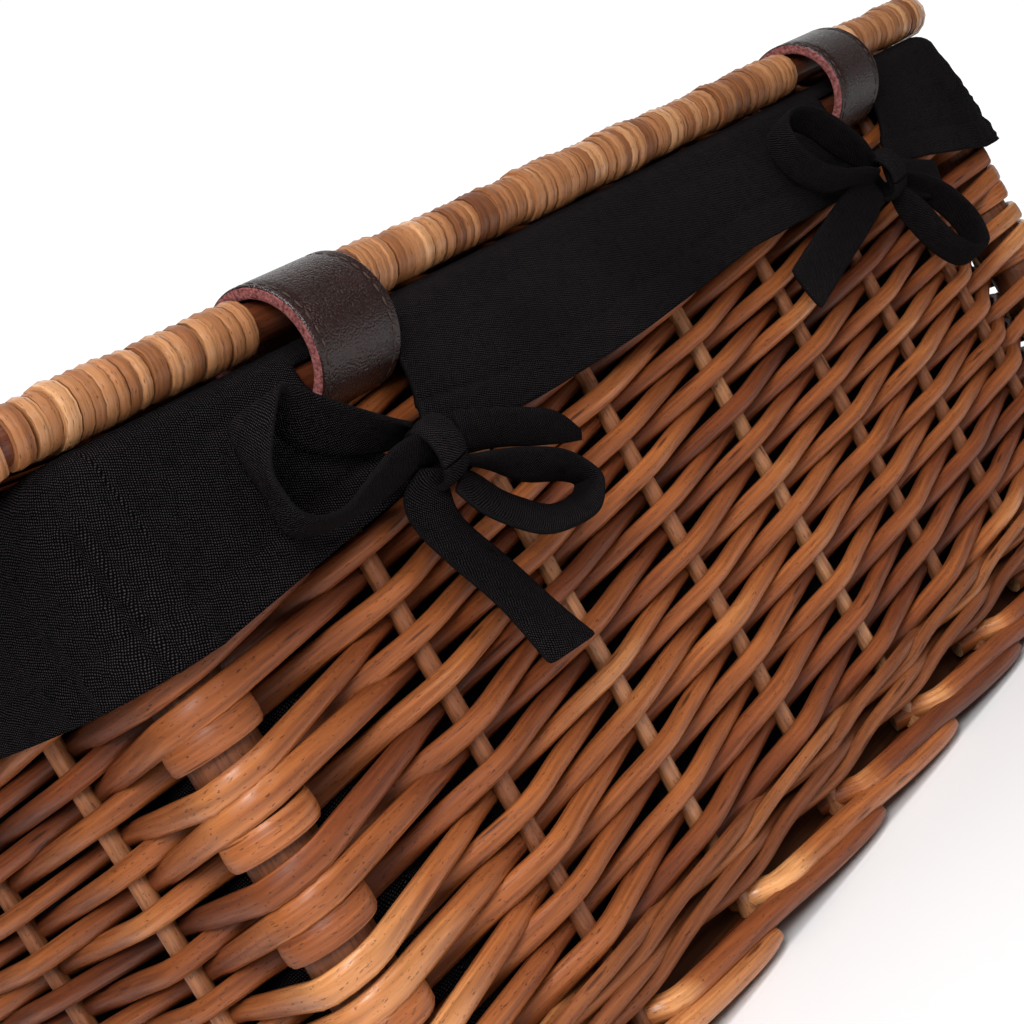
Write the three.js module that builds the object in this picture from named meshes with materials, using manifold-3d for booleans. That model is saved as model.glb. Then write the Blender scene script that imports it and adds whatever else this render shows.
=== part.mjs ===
// Rectangular willow picnic basket with a hinged lid, a cloth lining turned out over its rim,
// two leather hinge loops and two cloth ties in bows. Millimetres, +Z up. The hinge side is +Y.
// The origin is on the ground under the middle of the whole.
import * as THREE from "three";
import { mergeVertices } from "three/addons/utils/BufferGeometryUtils.js";
import Module from "manifold-3d";

const wasm = await Module();
wasm.setup();

// Driving dimensions
const GAP = 0.3; // clearance between pieces that touch
const PAST = 1; // how far a cutting body runs past the face that it cuts
const END_X = 188.5; // stake plane of the end walls
const BACK_Y = 137; // stake plane of the back and front walls
const FOOT_TOP = 13;
const WALL_BOTTOM = FOOT_TOP + GAP;
const RIM_RADIUS = 6;
const RIM_Z = 158;
const WALL_TOP = RIM_Z - RIM_RADIUS - GAP;

const STAKE_RADIUS = 2.5;
const WEAVER = 5; // thickness of a weaver
const WALL_HALF = STAKE_RADIUS + WEAVER; // from the stake plane to the face of the weave
const STAKE_SHOWS = 1; // how far the weave stands out where a stake shows between weavers
const UPSETT_GROOVE = 2; // depth of the groove between two upsett rows
const LONG_STAKES = [-133.5, -89, -44.5, 0, 44.5, 89, 133.5];
const END_STAKES = [-94, -47, 0, 47, 94];
const UPSETT_ROWS = 2;
const UPSETT_PITCH = 6.8;
const RAND_PITCH = 10.2; // between weavers that cross in front of one stake

const POST_RADIUS = 8;
const POST_SIDES = 10;
const CORNER_RADIUS = 5.5; // bend of the stake plane at a corner
const INNER_EASE = 1.8; // how much faster the bend widens inside the walls
const POST_X = END_X - CORNER_RADIUS;
const POST_Y = BACK_Y - CORNER_RADIUS;
const WRAP_PITCH = 10.2;

const CLOTH = 1.2;
const FLOOR_TOP = 14;
const CORNER_HEM_Z = 122; // lower edge of the skirt at the corners
const MIDDLE_HEM_Z = 131; // and in the middle of a side
const SLIT_WIDTH = 35;

const HINGE_X = 117;
const LOOP_WIDTH = 25;
const LEATHER = 3;
const LOOP_INNER_RADIUS = 12.5;
const LOOP_ROOM = 1; // free space beside a loop in the wall
const LOOP_SEGMENTS = 12;

const LID_ROD_RADIUS = 4.5;
const LID_ROD_SIDES = 8;
const BINDING_RADIUS = 6.5;
const BINDING_SIDES = 9;
const LID_Z = RIM_Z + RIM_RADIUS + GAP + CLOTH + GAP + BINDING_RADIUS; // axis of the lid rod
const LID_HALF_X = 204;
const LID_BACK_Y = BACK_Y;
const LID_FRONT_Y = -143;
const LID_CORNER_RADIUS = 14;
const LID_STICKS = [-147, -98, -49, 0, 49, 98, 147];
const LID_PITCH = 20.4;
const LOOP_Z = LID_Z + LID_ROD_RADIUS + GAP - LOOP_INNER_RADIUS; // centre of a hinge loop
const LOOP_REACH = LID_Z - LOOP_Z + LOOP_INNER_RADIUS + LEATHER; // from the lid rod's axis

const TIE_WIDTH = 14;
const TIE = 2; // thickness of a doubled tie
const TIE_SEGMENTS = 4;
const KNOT = { width: 13, height: 20, depth: 11 };
const KNOT_Z = 132;

const finish = (color, roughness) => ({ color, roughness, metalness: 0 });
const FINISH = {
  weaver: finish(0x96552d, 0.5),
  stake: finish(0xb97d50, 0.5),
  skein: finish(0xbe8c5a, 0.55),
  rod: finish(0x824628, 0.5),
  leather: finish(0x32201e, 0.45),
  cloth: finish(0x161416, 0.9),
};

const basket = new THREE.Group();
const lid = new THREE.Group();
basket.add(lid);

// Adds a named piece with its own material.
function piece(parent, name, geometry, look) {
  const mesh = new THREE.Mesh(geometry, new THREE.MeshStandardMaterial(look));
  mesh.name = name;
  parent.add(mesh);
  return mesh;
}

// Joining and cutting

function solid(geometry) {
  const bare = geometry.clone();
  bare.deleteAttribute("normal");
  bare.deleteAttribute("uv");
  const merged = mergeVertices(bare, 1e-4);
  return new wasm.Manifold(
    new wasm.Mesh({
      numProp: 3,
      vertProperties: new Float32Array(merged.attributes.position.array),
      triVerts: new Uint32Array(merged.index.array),
    }),
  );
}

function surface(shape) {
  const mesh = shape.getMesh();
  const geometry = new THREE.BufferGeometry();
  geometry.setAttribute("position", new THREE.BufferAttribute(mesh.vertProperties, 3));
  geometry.setIndex(new THREE.BufferAttribute(mesh.triVerts, 1));
  geometry.computeVertexNormals();
  return geometry;
}

function cut(geometry, tools) {
  let shape = solid(geometry);
  for (const tool of tools) shape = shape.subtract(solid(tool));
  return surface(shape);
}

function join(geometries) {
  let shape = solid(geometries[0]);
  for (const other of geometries.slice(1)) shape = shape.add(solid(other));
  return surface(shape);
}

// A box between two corners.
function block(low, high) {
  const size = high.map((value, i) => value - low[i]);
  const box = new THREE.BoxGeometry(...size);
  return box.translate(...high.map((value, i) => (value + low[i]) / 2));
}

// An upright round rod.
function upright(radius, bottom, top, sides, x = 0, y = 0) {
  const rod = new THREE.CylinderGeometry(radius, radius, top - bottom, sides);
  return rod.rotateX(Math.PI / 2).translate(x, y, (bottom + top) / 2);
}

// Lofts closed sections, each a list of points with the same count, into one closed body.
// The sections run anticlockwise seen from ahead of the first one, and flat holds the first
// section's points in its own plane, for the end caps of an open loft.
function loft(sections, flat = null) {
  const count = sections[0].length;
  const spans = flat ? sections.length - 1 : sections.length;
  const index = [];
  for (let i = 0; i < spans; i += 1) {
    const here = i * count;
    const next = ((i + 1) % sections.length) * count;
    for (let j = 0; j < count; j += 1) {
      const k = (j + 1) % count;
      index.push(here + j, next + j, next + k, here + j, next + k, here + k);
    }
  }
  if (flat) {
    const last = (sections.length - 1) * count;
    const contour = flat.map(([u, v]) => new THREE.Vector2(u, v));
    for (const [a, b, c] of THREE.ShapeUtils.triangulateShape(contour, [])) {
      index.push(a, b, c, last + a, last + c, last + b);
    }
  }
  const geometry = new THREE.BufferGeometry();
  const points = sections.flat().flatMap((point) => [point.x, point.y, point.z]);
  geometry.setAttribute("position", new THREE.Float32BufferAttribute(points, 3));
  geometry.setIndex(index);
  geometry.computeVertexNormals();
  return geometry;
}

// Places on a rounded rectangle. A station is on a straight side or on a corner's bend, and the
// same station can be found at any distance out from the rectangle.

// The way out from the middle on each side.
const SIDES = { right: [1, 0], back: [0, 1], left: [-1, 0], front: [0, -1] };
const CORNERS = [
  { sx: 1, sy: 1, start: 0 },
  { sx: -1, sy: 1, start: 90 },
  { sx: -1, sy: -1, start: 180 },
  { sx: 1, sy: -1, start: 270 },
];

const onSide = (side, at) => ({ side, at });
const onCorner = (corner, share) => ({ corner, share });
const bend = (corner, shares) => shares.map((share) => onCorner(corner, share));

// Point of a station on a rectangle, some way out from its line.
function place(frame, station, out, z) {
  const halfX = frame.halfX + out;
  const halfY = frame.halfY + out;
  const middle = frame.middleY ?? 0;
  if (station.side) {
    const [outX, outY] = SIDES[station.side];
    const x = outX ? outX * halfX : station.at;
    const y = outY ? middle + outY * halfY : station.at;
    return new THREE.Vector3(x, y, z);
  }
  const { sx, sy, start } = CORNERS[station.corner];
  const radius = frame.bendAt(out);
  const turn = THREE.MathUtils.degToRad(start + 90 * station.share);
  return new THREE.Vector3(
    sx * (halfX - radius) + radius * Math.cos(turn),
    middle + sy * (halfY - radius) + radius * Math.sin(turn),
    z,
  );
}

// Body of a ring, or of part of one: a profile of [out, z] pairs carried through the stations.
function ring(frame, stations, profileAt, closed) {
  const profiles = stations.map(profileAt);
  const sections = profiles.map((profile, i) =>
    profile.map(([out, z]) => place(frame, stations[i], out, z)),
  );
  return loft(sections, closed ? null : profiles[0]);
}

// The basket's plan. Inside the walls the bend is wider, because the posts stand there.
const plan = {
  halfX: END_X,
  halfY: BACK_Y,
  bendAt: (out) => (out >= 0 ? CORNER_RADIUS + out : CORNER_RADIUS - INNER_EASE * out),
};

function roundProfile(radius, z, sides) {
  return Array.from({ length: sides }, (_, i) => {
    const turn = (2 * Math.PI * (i + 0.5)) / sides;
    return [radius * Math.cos(turn), z + radius * Math.sin(turn)];
  });
}

// Woven panels

// Heights where the weave stands out or falls back, from the panel's lower edge.
function weaveRows(height, upsettRows, pitch) {
  const rows = [{ z: 0, crest: false, upsett: true }];
  for (let i = 0; i < upsettRows; i += 1) {
    rows.push({ z: UPSETT_PITCH * (i + 0.5), crest: true, upsett: true });
    rows.push({ z: UPSETT_PITCH * (i + 1), crest: false, upsett: true });
  }
  const start = upsettRows * UPSETT_PITCH;
  const count = Math.floor((height - start) / pitch);
  for (let i = 0; i < count; i += 1) {
    rows.push({ z: start + pitch * (i + 0.5), crest: true, upsett: false });
    rows.push({ z: start + pitch * (i + 1), crest: false, upsett: false });
  }
  rows.at(-1).z = height;
  return rows;
}

// How far the weave's face lies from the stake plane: weavers cross in front of a stake at the
// crests, show the stake between them, and pass back through the wall halfway to the next stake.
function weaveDepth(row, atStake) {
  if (row.upsett) return row.crest ? WALL_HALF : WALL_HALF - UPSETT_GROOVE;
  if (!atStake) return WEAVER / 2 + STAKE_SHOWS;
  return row.crest ? WALL_HALF : STAKE_RADIUS + STAKE_SHOWS;
}

// A woven panel with its face towards +Y, its middle at x = 0 and its lower edge at z = 0.
function wovenPanel(length, height, stakes, upsettRows, pitch) {
  const half = length / 2;
  const columns = [{ x: -half, atStake: false }];
  stakes.forEach((x, i) => {
    if (i > 0) columns.push({ x: (x + stakes[i - 1]) / 2, atStake: false });
    columns.push({ x, atStake: true });
  });
  columns.push({ x: half, atStake: false });
  const rows = weaveRows(height, upsettRows, pitch);
  const profiles = columns.reverse().map(({ atStake }) => [
    [-WALL_HALF, 0],
    ...rows.map((row) => [weaveDepth(row, atStake), row.z]),
    [-WALL_HALF, height],
  ]);
  const sections = profiles.map((profile, i) =>
    profile.map(([y, z]) => new THREE.Vector3(columns[i].x, y, z)),
  );
  return loft(sections, profiles[0]);
}

// Walls, stakes and corners

const LONG_SPAN = 2 * (POST_X - POST_RADIUS - GAP);
const END_SPAN = 2 * (POST_Y - POST_RADIUS - GAP);
const WALL_HEIGHT = WALL_TOP - WALL_BOTTOM;
const STAKE_SIDES = 6;

function wall(name, span, stakes, distance, turn, slots = []) {
  const holes = stakes.map((x) =>
    upright(STAKE_RADIUS + GAP, -PAST, WALL_HEIGHT + PAST, STAKE_SIDES, x),
  );
  const weave = wovenPanel(span, WALL_HEIGHT, stakes, UPSETT_ROWS, RAND_PITCH);
  const side = new THREE.Group();
  side.rotation.z = turn;
  const panel = piece(side, `wall_${name}`, cut(weave, [...holes, ...slots]), FINISH.weaver);
  panel.position.set(0, distance, WALL_BOTTOM);
  stakes.forEach((x, i) => {
    const rod = upright(STAKE_RADIUS, WALL_BOTTOM, WALL_TOP, STAKE_SIDES);
    piece(side, `stake_${name}_${i + 1}`, rod, FINISH.stake).position.set(x, distance, 0);
  });
  basket.add(side);
}

// Room under the rim rod where a hinge loop passes through the back wall.
const SLOT_BOTTOM = LOOP_Z - LOOP_INNER_RADIUS - LEATHER - GAP - WALL_BOTTOM;
const SLOT_HALF = LOOP_WIDTH / 2 + LOOP_ROOM;
const SLOT_REACH = WALL_HALF + PAST;
const loopSlots = [-HINGE_X, HINGE_X].map((x) =>
  block(
    [x - SLOT_HALF, -SLOT_REACH, SLOT_BOTTOM],
    [x + SLOT_HALF, SLOT_REACH, WALL_HEIGHT + PAST],
  ),
);

wall("back", LONG_SPAN, LONG_STAKES, BACK_Y, 0, loopSlots);
wall("front", LONG_SPAN, LONG_STAKES, BACK_Y, Math.PI);
wall("right", END_SPAN, END_STAKES, END_X, -Math.PI / 2);
wall("left", END_SPAN, END_STAKES, END_X, Math.PI / 2);

// Weavers bent round a corner post, from one wall to the other, built for the +X +Y corner.
function cornerWrap() {
  const rows = weaveRows(WALL_HEIGHT, 0, WRAP_PITCH);
  const inner = POST_RADIUS + GAP;
  const profile = [
    [inner, 0],
    ...rows.map((row) => [row.crest ? inner + WEAVER : inner + WEAVER / 2, row.z]),
    [inner, WALL_HEIGHT],
  ];
  const lead = POST_RADIUS; // straight stretch beside the post
  const path = [{ x: 0, y: -lead, turn: 0 }];
  for (const turn of [0, 30, 60, 90]) path.push({ x: 0, y: 0, turn });
  path.push({ x: -lead, y: 0, turn: 90 });
  const sections = path.map(({ x, y, turn }) => {
    const angle = THREE.MathUtils.degToRad(turn);
    return profile.map(
      ([out, z]) => new THREE.Vector3(x + out * Math.cos(angle), y + out * Math.sin(angle), z),
    );
  });
  return loft(sections, profile);
}

CORNERS.forEach(({ sx, sy, start }, i) => {
  const corner = new THREE.Group();
  corner.position.set(sx * POST_X, sy * POST_Y, WALL_BOTTOM);
  corner.rotation.z = THREE.MathUtils.degToRad(start);
  piece(corner, `corner_post_${i + 1}`, upright(POST_RADIUS, 0, WALL_HEIGHT, POST_SIDES), FINISH.stake);
  piece(corner, `corner_wrap_${i + 1}`, cornerWrap(), FINISH.weaver);
  basket.add(corner);
});

// Foot and floor

const FOOT_FACE = 9.5; // how far the foot stands out from the stake plane
const FOOT_SWELL = 1.2; // where its rods overlap
const FOOT_UNDERCUT = 4; // how far it draws in at the ground
const FOOT_SHOULDER = { low: 4, high: 9, draw: 3 }; // heights of its face, and its slope above
const BEND_STEPS = [0, 0.33, 0.67, 1];
const CLOTH_BENDS = [0, 0.25, 0.5, 0.75, 1];
const halfway = (places) => places.slice(1).map((at, i) => (at + places[i]) / 2);
const alongSide = (places) => [...places, ...halfway(places)].sort((a, b) => a - b);

function footStations() {
  const long = alongSide(LONG_STAKES);
  const short = alongSide(END_STAKES);
  return [
    ...short.map((at) => onSide("right", at)),
    ...bend(0, BEND_STEPS),
    ...long.toReversed().map((at) => onSide("back", at)),
    ...bend(1, BEND_STEPS),
    ...short.toReversed().map((at) => onSide("left", at)),
    ...bend(2, BEND_STEPS),
    ...long.map((at) => onSide("front", at)),
    ...bend(3, BEND_STEPS),
  ];
}

// The border's rods overlap at the stakes, so it thins between them.
function footProfile(station, i) {
  const thin = station.side && i % 2 === 0 ? 0 : FOOT_SWELL;
  const face = FOOT_FACE - thin;
  const inner = -WALL_HALF - GAP / 2;
  return [
    [inner, 0],
    [face - FOOT_UNDERCUT, 0],
    [face, FOOT_SHOULDER.low],
    [face, FOOT_SHOULDER.high],
    [face - FOOT_SHOULDER.draw, FOOT_TOP],
    [inner, FOOT_TOP],
  ];
}

piece(basket, "foot_border", ring(plan, footStations(), footProfile, true), FINISH.weaver);

// An upright prism over the basket's plan, drawn in from the stake plane.
function planPrism(out, bottom, top) {
  const outline = [0, 1, 2, 3].flatMap((corner) =>
    bend(corner, BEND_STEPS).map((station) => {
      const point = place(plan, station, out, 0);
      return new THREE.Vector2(point.x, point.y);
    }),
  );
  const prism = new THREE.ExtrudeGeometry(new THREE.Shape(outline), {
    depth: top - bottom,
    bevelEnabled: false,
  });
  return prism.translate(0, 0, bottom);
}

const BASE_BOTTOM = 3;
const INNER_FACE = -WALL_HALF - GAP / 2 - GAP; // how far in the floor and the lining may reach
piece(basket, "base_panel", planPrism(INNER_FACE, BASE_BOTTOM, FLOOR_TOP), FINISH.weaver);

// Rim rod, in four lengths that meet at the middle of each corner

const RIM_ENDS = 0.49;
const RIM_FACETS = 8;
const RIM_SIDES = { right: [3, 0], back: [0, 1], left: [1, 2], front: [2, 3] };
for (const [name, [before, after]] of Object.entries(RIM_SIDES)) {
  const stations = [...bend(before, [1 - RIM_ENDS, 0.75, 1]), ...bend(after, [0, 0.25, RIM_ENDS])];
  const rod = ring(plan, stations, () => roundProfile(RIM_RADIUS, RIM_Z, RIM_FACETS), false);
  piece(basket, `rim_${name}`, rod, FINISH.rod);
}

// Lining: a bag inside the walls, carried over the rim and hanging outside as a skirt

const SKIRT_EASE = 0.5; // how loosely the skirt hangs
const SKIRT_FACE = WALL_HALF + GAP + SKIRT_EASE; // inner side of the hanging skirt
const RIM_CLEAR = RIM_RADIUS + GAP;
const FLARE = 1.4; // how far a soft wave of the hem stands out
const HOLLOW = 0.4; // and how far the hem stands out between two waves
const HEM_SPREAD = 2.2; // how soon the hem has risen, as a share of half a side
const RIM_EASE = { inner: 0.6, outer: 0.7 }; // how loosely the cloth bends over the rim
const RIM_TURN = { inside: 2, outside: -3, slope: 0.75 }; // heights where it leaves the rim

function liningStations() {
  const long = [-150, -HINGE_X, -75, -25, 25, 75, HINGE_X, 150];
  const short = [-90, -45, 0, 45, 90];
  return [
    ...short.map((at) => onSide("right", at)),
    ...bend(0, CLOTH_BENDS),
    ...long.toReversed().map((at) => onSide("back", at)),
    ...bend(1, CLOTH_BENDS),
    ...short.toReversed().map((at) => onSide("left", at)),
    ...bend(2, CLOTH_BENDS),
    ...long.map((at) => onSide("front", at)),
    ...bend(3, CLOTH_BENDS),
  ];
}

// Where a side's hem rises from the corners to its middle.
function hemHeight(station) {
  if (!station.side) return CORNER_HEM_Z;
  const reach = SIDES[station.side][1] ? POST_X : POST_Y;
  const fromCorner = 1 - Math.abs(station.at) / reach;
  return CORNER_HEM_Z + (MIDDLE_HEM_Z - CORNER_HEM_Z) * Math.min(1, fromCorner * HEM_SPREAD);
}

function liningProfile(station, i) {
  const hem = hemHeight(station);
  const wave = SKIRT_FACE + (i % 2 === 0 ? FLARE : HOLLOW);
  const over = RIM_CLEAR + CLOTH;
  const near = RIM_CLEAR * Math.SQRT1_2;
  const far = over * Math.SQRT1_2;
  return [
    [INNER_FACE, FLOOR_TOP + GAP],
    [INNER_FACE, WALL_TOP],
    [-RIM_CLEAR, RIM_Z + RIM_TURN.inside],
    [-near, RIM_Z + near + RIM_EASE.inner],
    [0, RIM_Z + RIM_CLEAR],
    [near, RIM_Z + near + RIM_EASE.inner],
    [SKIRT_FACE, RIM_Z + RIM_TURN.outside],
    [wave, hem],
    [wave + CLOTH, hem],
    [SKIRT_FACE + CLOTH, RIM_Z + RIM_TURN.outside + RIM_TURN.slope],
    [far, RIM_Z + far + RIM_EASE.outer],
    [0, RIM_Z + over],
    [-far, RIM_Z + far + RIM_EASE.outer],
    [-over, RIM_Z + RIM_TURN.inside + RIM_TURN.slope],
    [INNER_FACE - CLOTH, WALL_TOP],
    [INNER_FACE - CLOTH, FLOOR_TOP + GAP],
  ];
}

const bagWall = ring(plan, liningStations(), liningProfile, true);
const bagFloor = planPrism(INNER_FACE - CLOTH / 2, FLOOR_TOP + GAP, FLOOR_TOP + GAP + CLOTH);
const SLIT_REACH = 30; // well past the cloth on either side
const slits = [-HINGE_X, HINGE_X].flatMap((x) => {
  const left = x - SLIT_WIDTH / 2;
  const right = x + SLIT_WIDTH / 2;
  const inside = SLOT_BOTTOM + WALL_BOTTOM - LOOP_ROOM;
  return [
    block([left, BACK_Y, CORNER_HEM_Z - PAST], [right, BACK_Y + SLIT_REACH, LID_Z]),
    block([left, BACK_Y - SLIT_REACH, inside], [right, BACK_Y + PAST, LID_Z]),
  ];
});
piece(basket, "lining", cut(join([bagWall, bagFloor]), slits), FINISH.cloth);

// Leather hinge loops

function hingeLoop() {
  const shape = new THREE.Shape();
  shape.absarc(0, 0, LOOP_INNER_RADIUS + LEATHER, 0, 2 * Math.PI);
  const opening = new THREE.Path();
  opening.absarc(0, 0, LOOP_INNER_RADIUS, 0, 2 * Math.PI, true);
  shape.holes.push(opening);
  const loop = new THREE.ExtrudeGeometry(shape, {
    depth: LOOP_WIDTH,
    bevelEnabled: false,
    curveSegments: LOOP_SEGMENTS,
  });
  return loop.translate(0, 0, -LOOP_WIDTH / 2).rotateY(Math.PI / 2);
}

for (const [name, x] of [["right", HINGE_X], ["left", -HINGE_X]]) {
  piece(basket, `hinge_loop_${name}`, hingeLoop(), FINISH.leather).position.set(x, BACK_Y, LOOP_Z);
}

// Ties. Each row of a bow is a loop or a tail that leaves the knot: its length, the direction
// that it points in (degrees from the basket's +X, up), how far it lies out from the skirt, and
// how far a loop opens.

const BOWS = {
  right: {
    knotX: 117,
    rows: [
      { kind: "loop", length: 54, direction: 22, lift: 0.5, opens: 26 },
      { kind: "loop", length: 40, direction: 221, lift: 2.9, opens: 18 },
      { kind: "tail", length: 50, direction: 267, lift: 0.3 },
      { kind: "tail", length: 34, direction: 203, lift: 3.7 },
    ],
  },
  left: {
    knotX: -98,
    rows: [
      { kind: "loop", length: 46, direction: 31, lift: 0.5, opens: 20 },
      { kind: "loop", length: 44, direction: 229, lift: 2.9, opens: 18 },
      { kind: "tail", length: 62, direction: 346, lift: 0.3 },
      { kind: "tail", length: 34, direction: 197, lift: 3.7 },
    ],
  },
};
const KNOT_INNER = SKIRT_FACE + FLARE / 2 + CLOTH + GAP; // the ties lie against the skirt

// A drop-shaped outline from the knot out to its round end.
function dropOutline(length, opens) {
  const half = opens / 2;
  const drop = new THREE.Shape();
  drop.moveTo(0, 0);
  drop.bezierCurveTo(length * 0.3, half * 0.2, length * 0.45, half, length - half, half);
  drop.absarc(length - half, 0, half, Math.PI / 2, -Math.PI / 2, true);
  drop.bezierCurveTo(length * 0.45, -half, length * 0.3, -half * 0.2, 0, 0);
  return drop;
}

function standing(shape, depth) {
  const body = new THREE.ExtrudeGeometry(shape, {
    depth,
    bevelEnabled: false,
    curveSegments: TIE_SEGMENTS,
  });
  return body.rotateX(Math.PI / 2).translate(0, depth, 0);
}

function tieLoop({ length, direction, lift, opens }) {
  const outer = standing(dropOutline(length, opens), TIE_WIDTH);
  const inner = standing(dropOutline(length - 3 * TIE, opens - 2 * TIE), TIE_WIDTH + 2 * PAST);
  const loop = cut(outer, [inner.translate(2 * TIE, -PAST, 0)]);
  return loop.rotateY(-THREE.MathUtils.degToRad(direction)).translate(0, lift, 0);
}

function tieTail({ length, direction, lift }) {
  const half = TIE_WIDTH / 2;
  const tail = block([0, 0, -half], [length, TIE, half]);
  return tail.rotateY(-THREE.MathUtils.degToRad(direction)).translate(0, lift, 0);
}

function bow({ rows }) {
  const knot = block(
    [-KNOT.width / 2, 0, -KNOT.height / 2],
    [KNOT.width / 2, KNOT.depth, KNOT.height / 2],
  );
  return join([knot, ...rows.map((row) => (row.kind === "loop" ? tieLoop(row) : tieTail(row)))]);
}

for (const [name, table] of Object.entries(BOWS)) {
  const tied = piece(basket, `bow_${name}`, bow(table), FINISH.cloth);
  tied.position.set(table.knotX, BACK_Y + KNOT_INNER, KNOT_Z);
}

// Lid

const lidPlan = {
  halfX: LID_HALF_X,
  halfY: (LID_BACK_Y - LID_FRONT_Y) / 2,
  middleY: (LID_BACK_Y + LID_FRONT_Y) / 2,
  bendAt: (out) => LID_CORNER_RADIUS + out,
};

function lidTube(radius, stations, sides, closed) {
  return ring(lidPlan, stations, () => roundProfile(radius, LID_Z, sides), closed);
}

const lidBends = [0, 1, 2, 3].flatMap((corner) => bend(corner, BEND_STEPS));
piece(lid, "lid_rod", lidTube(LID_ROD_RADIUS, lidBends, LID_ROD_SIDES, true), FINISH.rod);

// Skein wound round the lid rod, left off where the hinge loops hold it.
const BARE_ROOM = 1.5; // bare rod beside a loop
const BARE_HALF = LOOP_WIDTH / 2 + BARE_ROOM;
const WINDING_END = 0.5; // between two windings
const BINDINGS = {
  middle: [onSide("back", HINGE_X - BARE_HALF), onSide("back", -HINGE_X + BARE_HALF)],
  right: [
    onSide("right", lidPlan.middleY),
    ...bend(0, BEND_STEPS),
    onSide("back", HINGE_X + BARE_HALF),
  ],
  left: [
    onSide("back", -HINGE_X - BARE_HALF),
    ...bend(1, BEND_STEPS),
    onSide("left", lidPlan.middleY),
  ],
  front: [
    onSide("left", lidPlan.middleY - WINDING_END),
    ...bend(2, BEND_STEPS),
    ...bend(3, BEND_STEPS),
    onSide("right", lidPlan.middleY - WINDING_END),
  ],
};
for (const [name, stations] of Object.entries(BINDINGS)) {
  const winding = lidTube(BINDING_RADIUS, stations, BINDING_SIDES, false);
  const core = lidTube(LID_ROD_RADIUS + GAP, lidBends, LID_ROD_SIDES, true);
  piece(lid, `binding_${name}`, cut(winding, [core]), FINISH.skein);
}

// The lid's weave fills the rod's frame, with room for each hinge loop to stay still as it turns.
const PANEL_INSET = BINDING_RADIUS + GAP;
const PANEL_CHAMFER = LID_CORNER_RADIUS + 1; // from the frame's corner to the panel's cut corner
const PANEL_LENGTH = 2 * (LID_HALF_X - PANEL_INSET);
const PANEL_DEPTH = LID_BACK_Y - LID_FRONT_Y - 2 * PANEL_INSET;
const PANEL_LOW = RIM_Z + RIM_CLEAR + CLOTH + GAP;
const PANEL_HIGH = LID_Z + BINDING_RADIUS - 1; // just under the top of the binding
const NOTCH_REACH = 20; // well past the panel above and below

function lidPanel() {
  const weave = wovenPanel(PANEL_LENGTH, PANEL_DEPTH, LID_STICKS, 0, LID_PITCH);
  weave.rotateX(Math.PI / 2);
  weave.scale(1, 1, (PANEL_HIGH - PANEL_LOW) / (2 * WALL_HALF));
  weave.computeBoundingBox();
  weave.translate(0, LID_BACK_Y - PANEL_INSET, PANEL_LOW - weave.boundingBox.min.z);
  const reach = LOOP_REACH + GAP;
  const notches = [-HINGE_X, HINGE_X].map((x) =>
    block(
      [x - BARE_HALF - LOOP_ROOM, LID_BACK_Y - reach, LID_Z - NOTCH_REACH],
      [x + BARE_HALF + LOOP_ROOM, LID_BACK_Y + PAST, LID_Z + NOTCH_REACH],
    ),
  );
  const corners = CORNERS.map(({ sx, sy }) => {
    const tip = block(
      [-PANEL_CHAMFER, -PANEL_CHAMFER, -LID_CORNER_RADIUS],
      [PANEL_CHAMFER, PANEL_CHAMFER, LID_CORNER_RADIUS],
    );
    tip.rotateZ(Math.PI / 4);
    return tip.translate(sx * LID_HALF_X, lidPlan.middleY + sy * lidPlan.halfY, LID_Z);
  });
  return cut(weave, [...notches, ...corners]);
}

piece(lid, "lid_panel", lidPanel(), FINISH.weaver);

// The origin goes to the middle of the whole, on the ground.
const box = new THREE.Box3().setFromObject(basket);
const middle = box.getCenter(new THREE.Vector3());
basket.position.set(-middle.x, -middle.y, -box.min.z);

export default basket;
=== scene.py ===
"""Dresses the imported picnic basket: willow weave, bound lid, cloth lining, bows and leather loops.

Sizes are in millimetres in the basket's own frame, and meshes are written in metres.
"""

import logging
import math
from dataclasses import dataclass, field
from enum import Enum
from typing import Sequence

import bmesh
import bpy
import numpy as np
from mathutils import Matrix, Vector


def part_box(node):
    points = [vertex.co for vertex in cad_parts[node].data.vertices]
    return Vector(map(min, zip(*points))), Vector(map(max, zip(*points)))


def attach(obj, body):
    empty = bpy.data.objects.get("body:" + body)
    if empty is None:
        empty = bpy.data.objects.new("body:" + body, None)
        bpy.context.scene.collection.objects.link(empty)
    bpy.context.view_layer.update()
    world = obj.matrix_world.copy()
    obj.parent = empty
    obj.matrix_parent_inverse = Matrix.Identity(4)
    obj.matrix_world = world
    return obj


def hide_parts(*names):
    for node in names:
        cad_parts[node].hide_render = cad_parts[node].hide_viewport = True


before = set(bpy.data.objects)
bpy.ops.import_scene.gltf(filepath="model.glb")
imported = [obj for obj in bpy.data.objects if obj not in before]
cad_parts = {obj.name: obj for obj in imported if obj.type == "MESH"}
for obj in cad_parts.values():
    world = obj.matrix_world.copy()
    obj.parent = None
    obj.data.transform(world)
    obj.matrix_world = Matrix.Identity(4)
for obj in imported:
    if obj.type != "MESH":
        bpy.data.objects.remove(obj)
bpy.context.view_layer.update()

MM = 0.001
UP = np.array((0.0, 0.0, 1.0))
ALONG_X = np.array((1.0, 0.0, 0.0))
BEND_SHARES = np.array((-0.5, -0.25, 0.0, 0.25, 0.5))
BENDS = BEND_SHARES * math.pi / 2
LOG = logging.getLogger("picnic_basket")

Socket = bpy.types.NodeSocket
Value = Socket | float | Sequence[float]
Span = tuple[float, float]


class Body(Enum):
    """The bodies that pieces ride on."""

    BASKET = "basket"
    LID = "lid"


class Pass(Enum):
    """The side of an upright that a weaver takes."""

    FRONT = 1
    BEHIND = -1


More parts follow.
